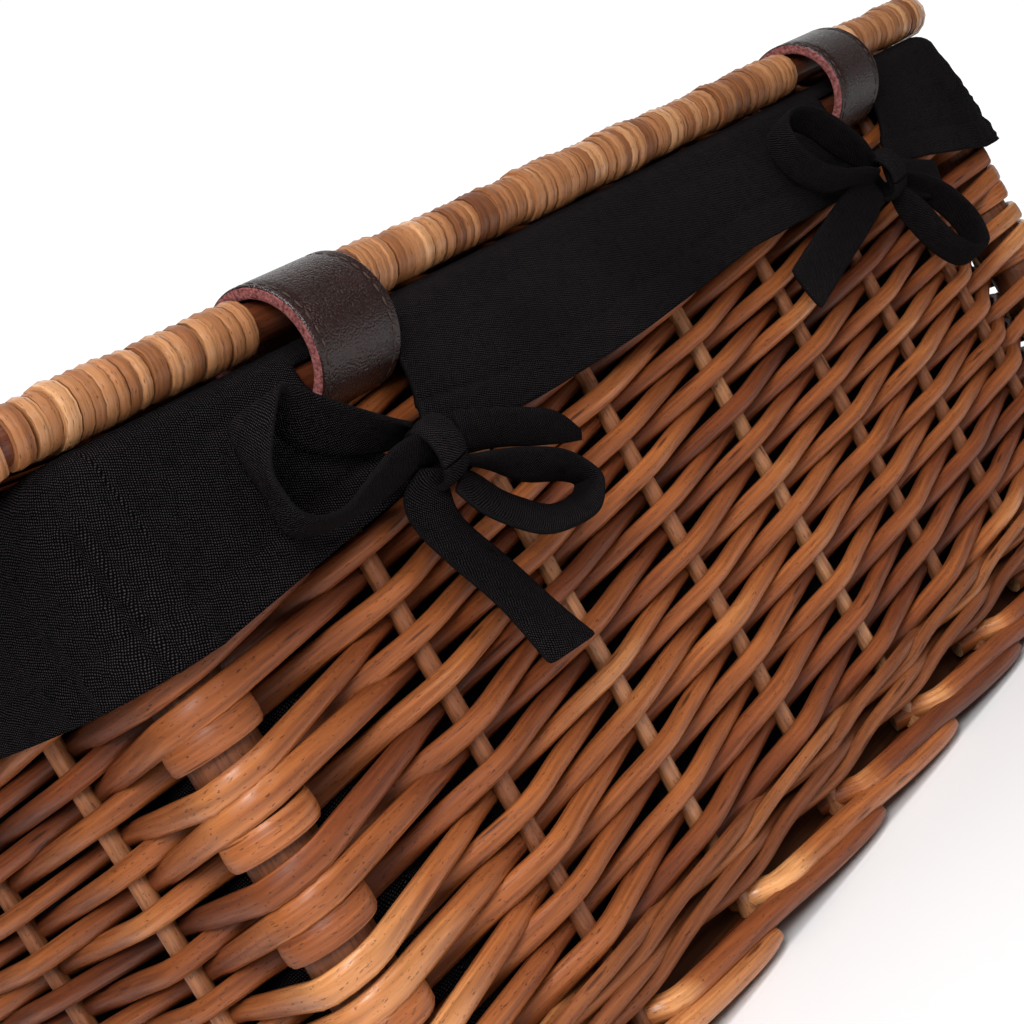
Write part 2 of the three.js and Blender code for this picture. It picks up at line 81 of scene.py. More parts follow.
class Side(Enum):
    """The end of the basket that a hinge or bow is nearer to."""

    RIGHT = "right"
    LEFT = "left"


# Paths


def smooth_path(points: np.ndarray, per_span: int) -> np.ndarray:
    """Carries a smooth curve through a list of points.

    Args:
        points: One row per point. Columns past the third are carried along too.
        per_span: Steps between neighbouring points.

    Returns:
        The rows of the curve, with both end points.
    """
    padded = np.vstack((2 * points[0] - points[1], points, 2 * points[-1] - points[-2]))
    t = np.linspace(0.0, 1.0, per_span, endpoint=False)[:, None]
    spans = []
    for i in range(1, len(padded) - 2):
        a, b, c, d = padded[i - 1 : i + 3]
        spans.append(
            0.5
            * (
                2 * b
                + (c - a) * t
                + (2 * a - 5 * b + 4 * c - d) * t**2
                + (3 * b - a - 3 * c + d) * t**3
            )
        )
    return np.vstack((*spans, points[-1:]))


def travelled(path: np.ndarray) -> np.ndarray:
    """Measures along a path, or along each of several.

    Args:
        path: Rows of places.

    Returns:
        The distance from the start to each row.
    """
    steps = np.linalg.norm(np.diff(path, axis=-2), axis=-1)
    return np.concatenate((np.zeros_like(steps[..., :1]), np.cumsum(steps, axis=-1)), axis=-1)


def even_steps(path: np.ndarray, step: float) -> np.ndarray:
    """Resamples a path so that its rows lie about one step apart.

    Args:
        path: Rows whose first three columns are a place.
        step: Distance between rows.

    Returns:
        The resampled rows.
    """
    run = travelled(path[:, :3])
    count = max(3, int(round(run[-1] / step)) + 1)
    at = np.linspace(0.0, run[-1], count)
    return np.column_stack([np.interp(at, run, path[:, k]) for k in range(path.shape[1])])


def unit(rows: np.ndarray) -> np.ndarray:
    """Scales each row to a length of one."""
    return rows / np.maximum(np.linalg.norm(rows, axis=-1, keepdims=True), 1e-9)


def bell(gap: np.ndarray, width: float) -> np.ndarray:
    """Gives 1 where there is no gap, and falls off smoothly over a width."""
    return np.exp(-((gap / width) ** 2))


def ring_bends(half_x: float, half_y: float, middle_y: float, bend: float, height: float) -> np.ndarray:
    """Lists places along the corners of a level, rounded ring.

    Args:
        half_x: Half its length.
        half_y: Half its depth.
        middle_y: Its middle from front to back.
        bend: Radius of its corners.
        height: Its height.

    Returns:
        The places, anticlockwise from the back of the right end.
    """
    rows = []
    for quarter, (side_x, side_y) in enumerate(((1, 1), (-1, 1), (-1, -1), (1, -1))):
        turn = (quarter + np.linspace(0, 1, 9)) * math.pi / 2
        x = side_x * (half_x - bend) + bend * np.cos(turn)
        y = middle_y + side_y * (half_y - bend) + bend * np.sin(turn)
        rows.append(np.column_stack((x, y, np.full(len(turn), height))))
    return np.vstack(rows)


# The basket's plan


@dataclass(frozen=True)
class Upright:
    """A stake or corner post that weavers pass round.

    Attributes:
        centre: Its place in plan.
        out: The way out of the basket there.
        radius: Its radius.
        post: Whether it is a corner post.
    """

    centre: np.ndarray
    out: np.ndarray
    radius: float
    post: bool

    def bend_round(self, reach: float, turns: np.ndarray) -> np.ndarray:
        """Finds places round the upright.

        Args:
            reach: Distance from its middle.
            turns: Angles from its way out.

        Returns:
            The places in plan.
        """
        turns = math.atan2(self.out[1], self.out[0]) + turns
        return self.centre + reach * np.column_stack((np.cos(turns), np.sin(turns)))


class BasketPlan:
    """The rounded rectangle that the stakes stand on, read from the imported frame.

    Attributes:
        STAKE: A stake's radius.
        INNER_BEND: How much rounder the corners get for each step inwards.
    """

    STAKE = 2.25
    INNER_BEND = 1.8

    def __init__(self) -> None:
        """Reads the walls' places from their nodes."""
        self.half_x = self._middle("stake_right_3")[0]
        back = self._middle("stake_back_4")[1]
        front = self._middle("stake_front_4")[1]
        self.half_y = (back - front) / 2
        self.middle_y = (back + front) / 2
        self.bend = self.half_x - self._middle("corner_post_1")[0]
        self.runs = np.array(
            [2 * (self.half_y - self.bend), self.bend * math.pi / 2, 2 * (self.half_x - self.bend)]
        )[[0, 1, 2, 1, 0, 1, 2, 1]]
        self.starts = np.concatenate(((0.0,), np.cumsum(self.runs)))
        self.length = float(self.starts[-1])
        self.uprights = self._uprights()

    @staticmethod
    def _middle(node: str) -> np.ndarray:
        """Gives the middle of a node's box."""
        low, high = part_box(node)
        return (np.array(low) + np.array(high)) / 2 / MM

    def _uprights(self) -> list[Upright]:
        """Lists the stakes and posts.

        Returns:
            The uprights, anticlockwise from the middle of the left wall.
        """
        ways = {"right": (1, 0), "back": (0, 1), "left": (-1, 0), "front": (0, -1)}
        found = []
        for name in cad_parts:
            middle = self._middle(name)[:2]
            if name.startswith("stake_"):
                way = np.array(ways[name.split("_")[1]], float)
                found.append(Upright(middle, way, self.STAKE, False))
            elif name.startswith("corner_post_"):
                low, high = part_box(name)
                way = np.sign(middle - (0, self.middle_y)) * math.sqrt(0.5)
                found.append(Upright(middle, way, (high.x - low.x) / 2 / MM, True))
        return sorted(found, key=lambda u: math.atan2(u.centre[1] - self.middle_y, u.centre[0]))

    def place(self, run: np.ndarray, out: np.ndarray) -> tuple[np.ndarray, np.ndarray]:
        """Finds places on the plan.

        Args:
            run: Distances along the stake plane, anticlockwise from the end wall's front corner.
            out: How far out from the stake plane each place is.

        Returns:
            The places in plan, and the way out at each.
        """
        run, out = np.broadcast_arrays(np.mod(run, self.length), out)
        bend = np.where(out >= 0, self.bend + out, self.bend - self.INNER_BEND * out)
        leg = np.clip(np.searchsorted(self.starts, run, side="right") - 1, 0, 7)
        share = (run - self.starts[leg]) / self.runs[leg]
        turn = np.where(leg % 2 == 1, (leg // 2 + share) * math.pi / 2, leg // 2 * math.pi / 2)
        way = np.stack((np.cos(turn), np.sin(turn)), axis=-1)
        reach_x, reach_y = self.half_x + out - bend, self.half_y + out - bend
        corner_x = np.where(np.isin(leg, (1, 7)), reach_x, -reach_x)
        corner_y = np.where(np.isin(leg, (1, 3)), reach_y, -reach_y)
        slide = 2 * share - 1
        side_x = np.select([leg == 2, leg == 6], [-slide * reach_x, slide * reach_x], 0.0)
        side_y = np.select([leg == 0, leg == 4], [slide * reach_y, -slide * reach_y], 0.0)
        side_x += np.select([leg == 0, leg == 4], [reach_x, -reach_x], 0.0)
        side_y += np.select([leg == 2, leg == 6], [reach_y, -reach_y], 0.0)
        base = np.stack(
            (np.where(leg % 2 == 1, corner_x, side_x), np.where(leg % 2 == 1, corner_y, side_y)),
            axis=-1,
        )
        return base + way * bend[..., None] + (0, self.middle_y), way

    def run_of(self, upright: Upright) -> float:
        """Finds how far along the stake plane an upright stands.

        Args:
            upright: The upright.

        Returns:
            The distance.
        """
        fine = np.arange(0.0, self.length, 0.5)
        places, _ = self.place(fine, np.zeros_like(fine))
        aim = upright.centre + upright.out * (self.bend if upright.post else 0.0)
        return float(fine[np.argmin(np.linalg.norm(places - aim, axis=1))])

    def run_on_back(self, x: float) -> float:
        """Gives the distance along the stake plane to a place on the back wall."""
        return float(self.starts[2] + self.half_x - self.bend - x)

    def between(self, first: Upright, second: Upright) -> np.ndarray:
        """Finds the place on the stake plane halfway between two neighbouring uprights.

        Args:
            first: One of them.
            second: The other.

        Returns:
            The place in plan.
        """
        ends = []
        for here, other in ((first, second), (second, first)):
            ends.append(here.centre + other.out * self.bend if here.post else here.centre)
        return (ends[0] + ends[1]) / 2


# Finishes


class NodeGraph:
    """A node material under construction."""

    def __init__(self, name: str) -> None:
        """Makes an empty material with a Principled surface.

        Args:
            name: The material's name.
        """
        self.material = bpy.data.materials.new(name)
        self.material.use_nodes = True
        self.tree = self.material.node_tree
        self.tree.nodes.clear()
        self.surface = self.node("ShaderNodeBsdfPrincipled")
        output = self.node("ShaderNodeOutputMaterial")
        self.tree.links.new(self.surface.outputs["BSDF"], output.inputs["Surface"])

    def node(
        self, kind: str, inputs: dict[str | int, Value] | None = None, **settings: str
    ) -> bpy.types.Node:
        """Adds a node.

        Args:
            kind: The node's type.
            inputs: Values or output sockets for its inputs.
            settings: Values for its own properties.

        Returns:
            The node.
        """
        made = self.tree.nodes.new(kind)
        for name, value in settings.items():
            setattr(made, name, value)
        for name, value in (inputs or {}).items():
            self.feed(made.inputs[name], value)
        return made

    def feed(self, socket: Socket, value: Value) -> None:
        """Links an output to an input, or sets the input's value.

        Args:
            socket: The input.
            value: An output socket or a plain value.
        """
        if isinstance(value, Socket):
            self.tree.links.new(value, socket)
        else:
            socket.default_value = value

    def math(self, operation: str, first: Value, second: Value = 0.0) -> Socket:
        """Adds a Math node and returns its output."""
        return self.node("ShaderNodeMath", {0: first, 1: second}, operation=operation).outputs[0]

    def times(self, first: Value, second: Value) -> Socket:
        """Multiplies two values and returns the output."""
        return self.math("MULTIPLY", first, second)

    def place(self) -> Socket:
        """Reads the place on the object."""
        return self.node("ShaderNodeTexCoord").outputs["Object"]

    def paint(self, colour: Value) -> None:
        """Gives the surface its colour."""
        self.feed(self.surface.inputs["Base Color"], colour)

    def attribute(self, name: str, output: str) -> Socket:
        """Reads an attribute of the mesh."""
        return self.node("ShaderNodeAttribute", attribute_name=name).outputs[output]

    def noise(self, vector: Value, scale: Sequence[float], detail: float = 3.0) -> Socket:
        """Adds noise over stretched coordinates.

        Args:
            vector: The coordinates.
            scale: How much they are stretched along each axis.
            detail: How many finer layers it has.

        Returns:
            The noise's value.
        """
        mapped = self.node("ShaderNodeMapping", {"Vector": vector, "Scale": tuple(scale)})
        texture = self.node(
            "ShaderNodeTexNoise", {"Vector": mapped.outputs[0], "Scale": 1.0, "Detail": detail}
        )
        return texture.outputs[0]

    def ramp(self, value: Value, stops: Sequence[tuple[float, Sequence[float]]]) -> Socket:
        """Adds a colour ramp.

        Args:
            value: The place on the ramp.
            stops: Places and their colours.

        Returns:
            The colour.
        """
        made = self.node("ShaderNodeValToRGB", {0: value})
        elements = made.color_ramp.elements
        while len(elements) < len(stops):
            elements.new(0.5)
        for element, (place, colour) in zip(elements, stops):
            element.position = place
            element.color = (*colour, 1.0)
        return made.outputs[0]

    def band(self, value: Value, low: float, high: float, start: float, end: float) -> Socket:
        """Carries a value smoothly from one range to another.

        Args:
            value: The value.
            low: Start of the range that it comes from.
            high: End of that range.
            start: Start of the range that it goes to.
            end: End of that range.

        Returns:
            The carried value.
        """
        made = self.node(
            "ShaderNodeMapRange",
            {"Value": value, "From Min": low, "From Max": high, "To Min": start, "To Max": end},
            interpolation_type="SMOOTHSTEP",
        )
        return made.outputs[0]

    def blend(self, mode: str, amount: Value, first: Value, second: Value) -> Socket:
        """Mixes two colours.

        Args:
            mode: The way of mixing.
            amount: How much of the second goes in.
            first: The first colour.
            second: The second colour.

        Returns:
            The mixed colour.
        """
        made = self.node("ShaderNodeMix", data_type="RGBA", blend_type=mode)
        self.feed(made.inputs[0], amount)
        self.feed(made.inputs[6], first)
        self.feed(made.inputs[7], second)
        return made.outputs[2]

    def bump(self, height: Value, strength: float, depth: float) -> None:
        """Raises the surface by a height.

        Args:
            height: The height at each place.
            strength: How strongly it shows.
            depth: How far it raises the surface, in millimetres.
        """
        made = self.node(
            "ShaderNodeBump", {"Height": height, "Strength": strength, "Distance": depth * MM}
        )
        self.feed(self.surface.inputs["Normal"], made.outputs[0])

    def shine(self, **values: float) -> None:
        """Sets plain values on the surface's sockets, with underscores for spaces."""
        for name, value in values.items():
            self.surface.inputs[name.replace("_", " ")].default_value = value


def from_srgb(red: int, green: int, blue: int) -> tuple[float, float, float]:
    """Turns a colour as seen on a screen into the values that a shader takes.

    Args:
        red: Red, from 0 to 255.
        green: Green, from 0 to 255.
        blue: Blue, from 0 to 255.

    Returns:
        The three values, from 0 to 1.
    """
    shares = [c / 255 for c in (red, green, blue)]
    linear = [c / 12.92 if c <= 0.04045 else ((c + 0.055) / 1.055) ** 2.4 for c in shares]
    return linear[0], linear[1], linear[2]


@dataclass(frozen=True)
class WillowFinish:
    """Stained willow: a tone for each rod, streaks along it, pores and dark buds.

    Attributes:
        name: The material's name.
        tones: Colours from the darkest rods to the palest.
        roughness: The lacquer's roughness.
        coat: How much clear lacquer lies over it.
        buds: How dark the buds are.
    """

    name: str
    tones: tuple[tuple[int, int, int], ...]
    roughness: float = 0.46
    coat: float = 0.06
    buds: float = 0.75

    def material(self) -> bpy.types.Material:
        """Builds the material.

        Returns:
            The material.
        """
        graph = NodeGraph(self.name)
        grain = graph.attribute("grain", "Vector")
        drift = graph.noise(grain, (0.012, 0.15, 0.15), 2.0)
        # The tone attribute is each rod's own tone; on the wall weave it also holds painted shade behind
        # the uprights, painted light in front of them and a painted highlight round the corner posts.
        tone = graph.math("ADD", graph.attribute("tone", "Fac"), graph.times(drift, 0.5))
        tone = graph.math("SUBTRACT", tone, 0.25)
        last = len(self.tones) - 1
        stops = [(i / last, from_srgb(*colour)) for i, colour in enumerate(self.tones)]
        colour = graph.ramp(tone, stops)
        streak = graph.noise(grain, (0.05, 1.1, 1.1), 5.0)
        shade = graph.ramp(streak, [(0.3, (0.6, 0.52, 0.45)), (0.7, (1.25, 1.23, 1.2))])
        colour = graph.blend("MULTIPLY", 1.0, colour, shade)
        pores = graph.band(graph.noise(grain, (0.7, 2.8, 2.8), 2.0), 0.62, 0.71, 0.0, 1.0)
        colour = graph.blend("MULTIPLY", graph.times(pores, 0.75), colour, (0.25, 0.16, 0.12, 1))
        cells = graph.node("ShaderNodeMapping", {"Vector": grain, "Scale": (0.03, 0.3, 0.3)})
        spots = graph.node("ShaderNodeTexVoronoi", {"Vector": cells.outputs[0], "Scale": 1.0})
        bud = graph.band(spots.outputs["Distance"], 0.06, 0.16, self.buds, 0.0)
        colour = graph.blend("MULTIPLY", bud, colour, (0.13, 0.07, 0.05, 1))
        graph.paint(colour)
        rough = graph.band(streak, 0.25, 0.75, self.roughness + 0.1, self.roughness - 0.06)
        bent = graph.band(tone, 0.55, 0.85, 0.0, 1.0)
        rough = graph.math("SUBTRACT", rough, graph.times(bent, 0.17))
        graph.feed(graph.surface.inputs["Roughness"], rough)
        coat = graph.math("ADD", graph.times(bent, 0.3), self.coat)
        graph.feed(graph.surface.inputs["Coat Weight"], coat)
        height = graph.math("SUBTRACT", streak, graph.times(pores, 0.35))
        graph.bump(graph.math("ADD", height, graph.times(bud, 0.5)), 0.5, 0.45)
        graph.shine(Coat_Roughness=0.26, Specular_IOR_Level=0.3)
        return graph.material


@dataclass(frozen=True)
class CutWillowFinish:
    """The pale cut end of a rod."""

    name: str = "cut_willow"

    def material(self) -> bpy.types.Material:
        """Builds the material.

        Returns:
            The material.
        """
        graph = NodeGraph(self.name)
        place = graph.place()
        fibre = graph.noise(place, (1800, 1800, 1800), 3.0)
        pale = [(0.3, from_srgb(150, 104, 66)), (0.7, from_srgb(206, 164, 116))]
        graph.paint(graph.ramp(fibre, pale))
        graph.bump(fibre, 0.4, 0.3)
        graph.shine(Roughness=0.8)
        return graph.material


@dataclass(frozen=True)
class ClothFinish:
    """Black plain-woven cotton, with its threads drawn on the cloth's own coordinates.

    Attributes:
        name: The material's name.
        thread: Distance between threads.
    """

    name: str = "black_cotton"
    thread: float = 0.58

    def material(self) -> bpy.types.Material:
        """Builds the material.

        Returns:
            The material.
        """
        graph = NodeGraph(self.name)
        flat = graph.node("ShaderNodeUVMap", uv_map="cloth").outputs[0]
        spot = graph.node("ShaderNodeSeparateXYZ", {0: flat})
        turns = 2 * math.pi / (self.thread * MM)
        ribs = []
        for first, second, lean in (("X", "Y", 0.45), ("Y", "X", -0.45)):
            across = graph.times(spot.outputs[first], turns)
            slant = graph.times(spot.outputs[second], turns * lean)
            wander = graph.times(graph.noise(flat, (420, 420, 1), 2.0), 9.0)
            wave = graph.math("SINE", graph.math("ADD", graph.math("ADD", across, slant), wander))
            ribs.append(graph.band(wave, -0.75, 0.75, 0.1, 1.0))
        raised = graph.times(ribs[0], ribs[1])
        slubs = graph.noise(flat, (240, 1100, 1), 2.0)
        slubs_across = graph.noise(flat, (1100, 240, 1), 2.0)
        yarn = graph.times(raised, graph.math("ADD", slubs, slubs_across))
        worn = graph.noise(flat, (22, 22, 22), 3.0)
        # Painted highlight and shade: the colour follows the threads' relief, lighter on the raised
        # crossings and near black between them; the slubs are the yarn's own unevenness.
        tones = [(0.05, from_srgb(2, 2, 3)), (0.4, from_srgb(16, 14, 15)), (1.0, from_srgb(60, 54, 56))]
        colour = graph.ramp(yarn, tones)
        fade = graph.ramp(worn, [(0.3, (0.72, 0.72, 0.74)), (0.7, (1.15, 1.12, 1.12))])
        graph.paint(graph.blend("MULTIPLY", 1.0, colour, fade))
        graph.bump(yarn, 0.8, 0.5)
        graph.shine(Roughness=0.9, Specular_IOR_Level=0.03)
        return graph.material


@dataclass(frozen=True)
class LeatherFinish:
    """Dark brown grained leather."""

    name: str = "brown_leather"

    def material(self) -> bpy.types.Material:
        """Builds the material.

        Returns:
            The material.
        """
        graph = NodeGraph(self.name)
        place = graph.place()
        cells = graph.node("ShaderNodeTexVoronoi", {"Vector": place, "Scale": 1900.0})
        pores = graph.noise(place, (1300, 1300, 1300), 4.0)
        broad = graph.noise(place, (70, 70, 70), 3.0)
        grain = graph.math("SUBTRACT", graph.times(pores, 0.3), cells.outputs["Distance"])
        tones = [(0.25, from_srgb(26, 11, 9)), (0.6, from_srgb(43, 20, 16)), (0.85, from_srgb(64, 34, 28))]
        colour = graph.ramp(graph.math("ADD", graph.times(broad, 0.75), 0.1), tones)
        # Painted shade: the colour is darkened in the hollows between the grain's pebbles and lightened on
        # their tops.
        crease = graph.ramp(cells.outputs["Distance"], [(0.1, (1.1, 1.1, 1.1)), (0.7, (0.6, 0.58, 0.58))])
        graph.paint(graph.blend("MULTIPLY", 0.8, colour, crease))
        graph.feed(graph.surface.inputs["Roughness"], graph.band(pores, 0.2, 0.8, 0.24, 0.38))
        graph.bump(grain, 0.75, 0.2)
        graph.shine(Specular_IOR_Level=0.46)
        return graph.material


@dataclass(frozen=True)
class SuedeFinish:
    """The leather's raw pink edge and flesh side."""

    name: str = "raw_leather"

    def material(self) -> bpy.types.Material:
        """Builds the material.

        Returns:
            The material.
        """
        graph = NodeGraph(self.name)
        place = graph.place()
        fibre = graph.noise(place, (1400, 1400, 1400), 4.0)
        tones = [(0.3, from_srgb(80, 40, 39)), (0.7, from_srgb(156, 96, 93))]
        graph.paint(graph.ramp(fibre, tones))
        graph.bump(fibre, 0.8, 0.5)
        graph.shine(Roughness=0.95, Specular_IOR_Level=0.15)
        return graph.material


@dataclass(frozen=True)
class ThreadFinish:
    """Sewing thread."""

    name: str = "sewing_thread"
    colour: tuple[int, int, int] = (70, 54, 47)
    gloss: float = 0.3

    def material(self) -> bpy.types.Material:
        """Builds the material.

        Returns:
            The material.
        """
        graph = NodeGraph(self.name)
        place = graph.place()
        twist = graph.noise(place, (2200, 2200, 2200), 2.0)
        base = from_srgb(*self.colour)
        dark = tuple(c * 0.45 for c in base)
        graph.paint(graph.ramp(twist, [(0.3, dark), (0.7, base)]))
        graph.bump(twist, 0.5, 0.2)
        graph.shine(Roughness=0.8, Specular_IOR_Level=self.gloss)
        return graph.material


@dataclass(frozen=True)
class BaseFinish:
    """Close weave of the basket's floor, seen only from below."""

    name: str = "willow_base"
    pitch: float = 5.0
    stick_gap: float = 45.0

    def material(self) -> bpy.types.Material:
        """Builds the material.

        Returns:
            The material.
        """
        graph = NodeGraph(self.name)
        place = graph.place()
        spot = graph.node("ShaderNodeSeparateXYZ", {0: place})
        rows = graph.math("SINE", graph.times(spot.outputs["Y"], 2 * math.pi / (self.pitch * MM)))
        across = graph.math("SINE", graph.times(spot.outputs["X"], math.pi / (self.stick_gap * MM)))
        weave = graph.math("ADD", rows, graph.times(across, 0.4))
        streak = graph.noise(place, (40, 900, 900), 4.0)
        stops = [(0.2, from_srgb(70, 36, 20)), (0.8, from_srgb(128, 76, 44))]
        colour = graph.ramp(streak, stops)
        # Painted shade: the gaps between the weave's rows and sticks are darkened.
        gaps = graph.band(weave, -1.2, 0.2, 0.0, 1.0)
        dark = graph.ramp(gaps, [(0.0, (0.25, 0.2, 0.18)), (1.0, (1, 1, 1))])
        graph.paint(graph.blend("MULTIPLY", 1.0, colour, dark))
        graph.bump(weave, 0.9, 1.6)
        graph.shine(Roughness=0.55)
        return graph.material


@dataclass
class Finishes:
    """Every material of the basket, built once."""

    weaver: bpy.types.Material = field(init=False)
    upsett: bpy.types.Material = field(init=False)
    stake: bpy.types.Material = field(init=False)
    rod: bpy.types.Material = field(init=False)
    skein: bpy.types.Material = field(init=False)
    cut: bpy.types.Material = field(init=False)
    cloth: bpy.types.Material = field(init=False)
    hem: bpy.types.Material = field(init=False)
    leather: bpy.types.Material = field(init=False)
    suede: bpy.types.Material = field(init=False)
    thread: bpy.types.Material = field(init=False)
    base: bpy.types.Material = field(init=False)

    def __post_init__(self) -> None:
        """Builds the materials."""
        browns = ((70, 30, 13), (118, 60, 29), (158, 92, 48), (220, 156, 100))
        tans = ((84, 40, 20), (118, 65, 34), (150, 91, 51), (186, 128, 79))
        greys = ((92, 49, 28), (126, 76, 46), (152, 98, 63), (178, 126, 86))
        pales = ((104, 60, 36), (143, 92, 57), (172, 120, 80), (200, 150, 107))
        darks = ((62, 29, 17), (86, 43, 25), (108, 57, 33), (132, 77, 45))
        self.weaver = WillowFinish("willow_weaver", browns).material()
        self.upsett = WillowFinish("willow_upsett", tans, 0.52, 0.06).material()
        self.stake = WillowFinish("willow_stake", greys, 0.5, 0.08).material()
        self.rod = WillowFinish("willow_rod", darks, 0.42, 0.15, 0.4).material()
        self.skein = WillowFinish("willow_skein", pales, 0.44, 0.12, 0.5).material()
        self.cut = CutWillowFinish().material()
        self.cloth = ClothFinish().material()
        self.hem = ThreadFinish("cotton_edge", (20, 18, 19), 0.03).material()
        self.leather = LeatherFinish().material()
        self.suede = SuedeFinish().material()
        self.thread = ThreadFinish().material()
        self.base = BaseFinish().material()


# Making meshes


def mesh_object(
    name: str, bm: bmesh.types.BMesh, materials: Sequence[bpy.types.Material], sharp: float = 60.0
) -> bpy.types.Object:
    """Turns a bmesh into an object at the origin.

    Args:
        name: The object's name.
        bm: The shape, in metres. It is freed.
        materials: The object's material slots.
        sharp: Edges that turn by more degrees than this stay sharp.

    Returns:
        The object.
    """
    mesh = bpy.data.meshes.new(name)
    bm.to_mesh(mesh)
    bm.free()
    mesh.shade_smooth()
    mesh.set_sharp_from_angle(angle=math.radians(sharp))
    for material in materials:
        mesh.materials.append(material)
    made = bpy.data.objects.new(name, mesh)
    bpy.context.scene.collection.objects.link(made)
    return made


def settle(piece: bpy.types.Object, body: Body, slot: str, *nodes: str) -> None:
    """Makes a piece ride on a body and stand for CAD nodes.

    Args:
        piece: The finished object.
        body: The body that it rides on.
        slot: The record's material slot, which is not used.
        nodes: The CAD nodes that it replaces.
    """
    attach(piece, body.value)
    if nodes:
        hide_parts(*nodes)
    LOG.info("%s: %d faces", piece.name, len(piece.data.polygons))


def nodes_like(*starts: str) -> list[str]:
    """Lists the CAD nodes whose names start in one of these ways."""
    return sorted(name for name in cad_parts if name.startswith(starts))


class RodMesh:
    """Gathers swept willow rods into one mesh, with the grain and tone of each on its vertices."""

    def __init__(self, name: str, seed: int) -> None:
        """Starts an empty mesh.

        Args:
            name: The finished object's name.
            seed: Seed for the rods' chance differences.
        """
        self.name = name
        self.bm = bmesh.new()
        self.grain = self.bm.verts.layers.float_vector.new("grain")
        self.tone = self.bm.verts.layers.float.new("tone")
        self.chance = np.random.default_rng(seed)

    def sweep(
        self,
        path: np.ndarray,
        half_across: np.ndarray | float,
        half_up: np.ndarray | float,
        tone: np.ndarray | float,
        sides: int = 10,
        reference: np.ndarray = UP,
        closed: bool = False,
        squareness: np.ndarray | float = 1.0,
    ) -> None:
        """Adds one rod that follows a path.

        Args:
            path: The rod's centre line, with its first row repeated at the end of a closed one.
            half_across: Half its size level with the reference.
            half_up: Half its size along the reference.
            tone: The rod's tone, from 0 to 1, or one for each row of the path; the walls' rows also carry
                painted shade and highlights in it.
            sides: Faces round it.
            reference: The direction that its section stands up in.
            closed: Whether it is a ring.
            squareness: Below 1, flattens the section's faces.
        """
        path = path[:, :3]
        count = len(path)
        ahead = np.gradient(path, axis=0)
        if closed:
            ahead[0] = ahead[-1] = path[1] - path[-2]
        ahead = unit(ahead)
        across = unit(np.cross(ahead, np.broadcast_to(reference, ahead.shape)))
        upward = np.cross(across, ahead)
        turn = np.linspace(0.0, 2 * math.pi, sides + 1)[:, None]
        wide = np.sign(np.cos(turn)) * np.abs(np.cos(turn)) ** squareness * half_across
        tall = np.sign(np.sin(turn)) * np.abs(np.sin(turn)) ** squareness * half_up
        rings = path + wide[..., None] * across + tall[..., None] * upward
        run = travelled(path)
        start = self.chance.uniform(0, 4000)
        size = float(np.mean(half_up))
        made = bmesh.ops.create_grid(self.bm, x_segments=count - 1, y_segments=sides, size=1.0)
        verts = made["verts"]
        grains = np.stack(
            np.broadcast_arrays(start + run, np.cos(turn) * size, np.sin(turn) * size), axis=-1
        )
        tones = np.broadcast_to(tone, (sides + 1, count)).ravel()
        places = (rings * MM).reshape(-1, 3)
        for vert, place, grain, shade in zip(verts, places, grains.reshape(-1, 3), tones):
            vert.co = place
            vert[self.grain] = grain
            vert[self.tone] = shade
        if not closed:
            for column in (0, count - 1):
                end = self.bm.faces.new([verts[j * count + column] for j in range(sides)])
                end.material_index = 1
        bmesh.ops.remove_doubles(self.bm, verts=verts, dist=1e-7)

    def finish(self, material: bpy.types.Material, cut: bpy.types.Material) -> bpy.types.Object:
        """Closes the mesh.

        Args:
            material: The rods' finish.
            cut: The finish of their cut ends.

        Returns:
            The object.
        """
        bmesh.ops.recalc_face_normals(self.bm, faces=self.bm.faces[:])
        return mesh_object(self.name, self.bm, (material, cut))


@dataclass
class SubAssembly:
    """A part of the basket.

    Attributes:
        plan: The basket's plan.
        finishes: The materials.
    """

    plan: BasketPlan
    finishes: Finishes


# Walls


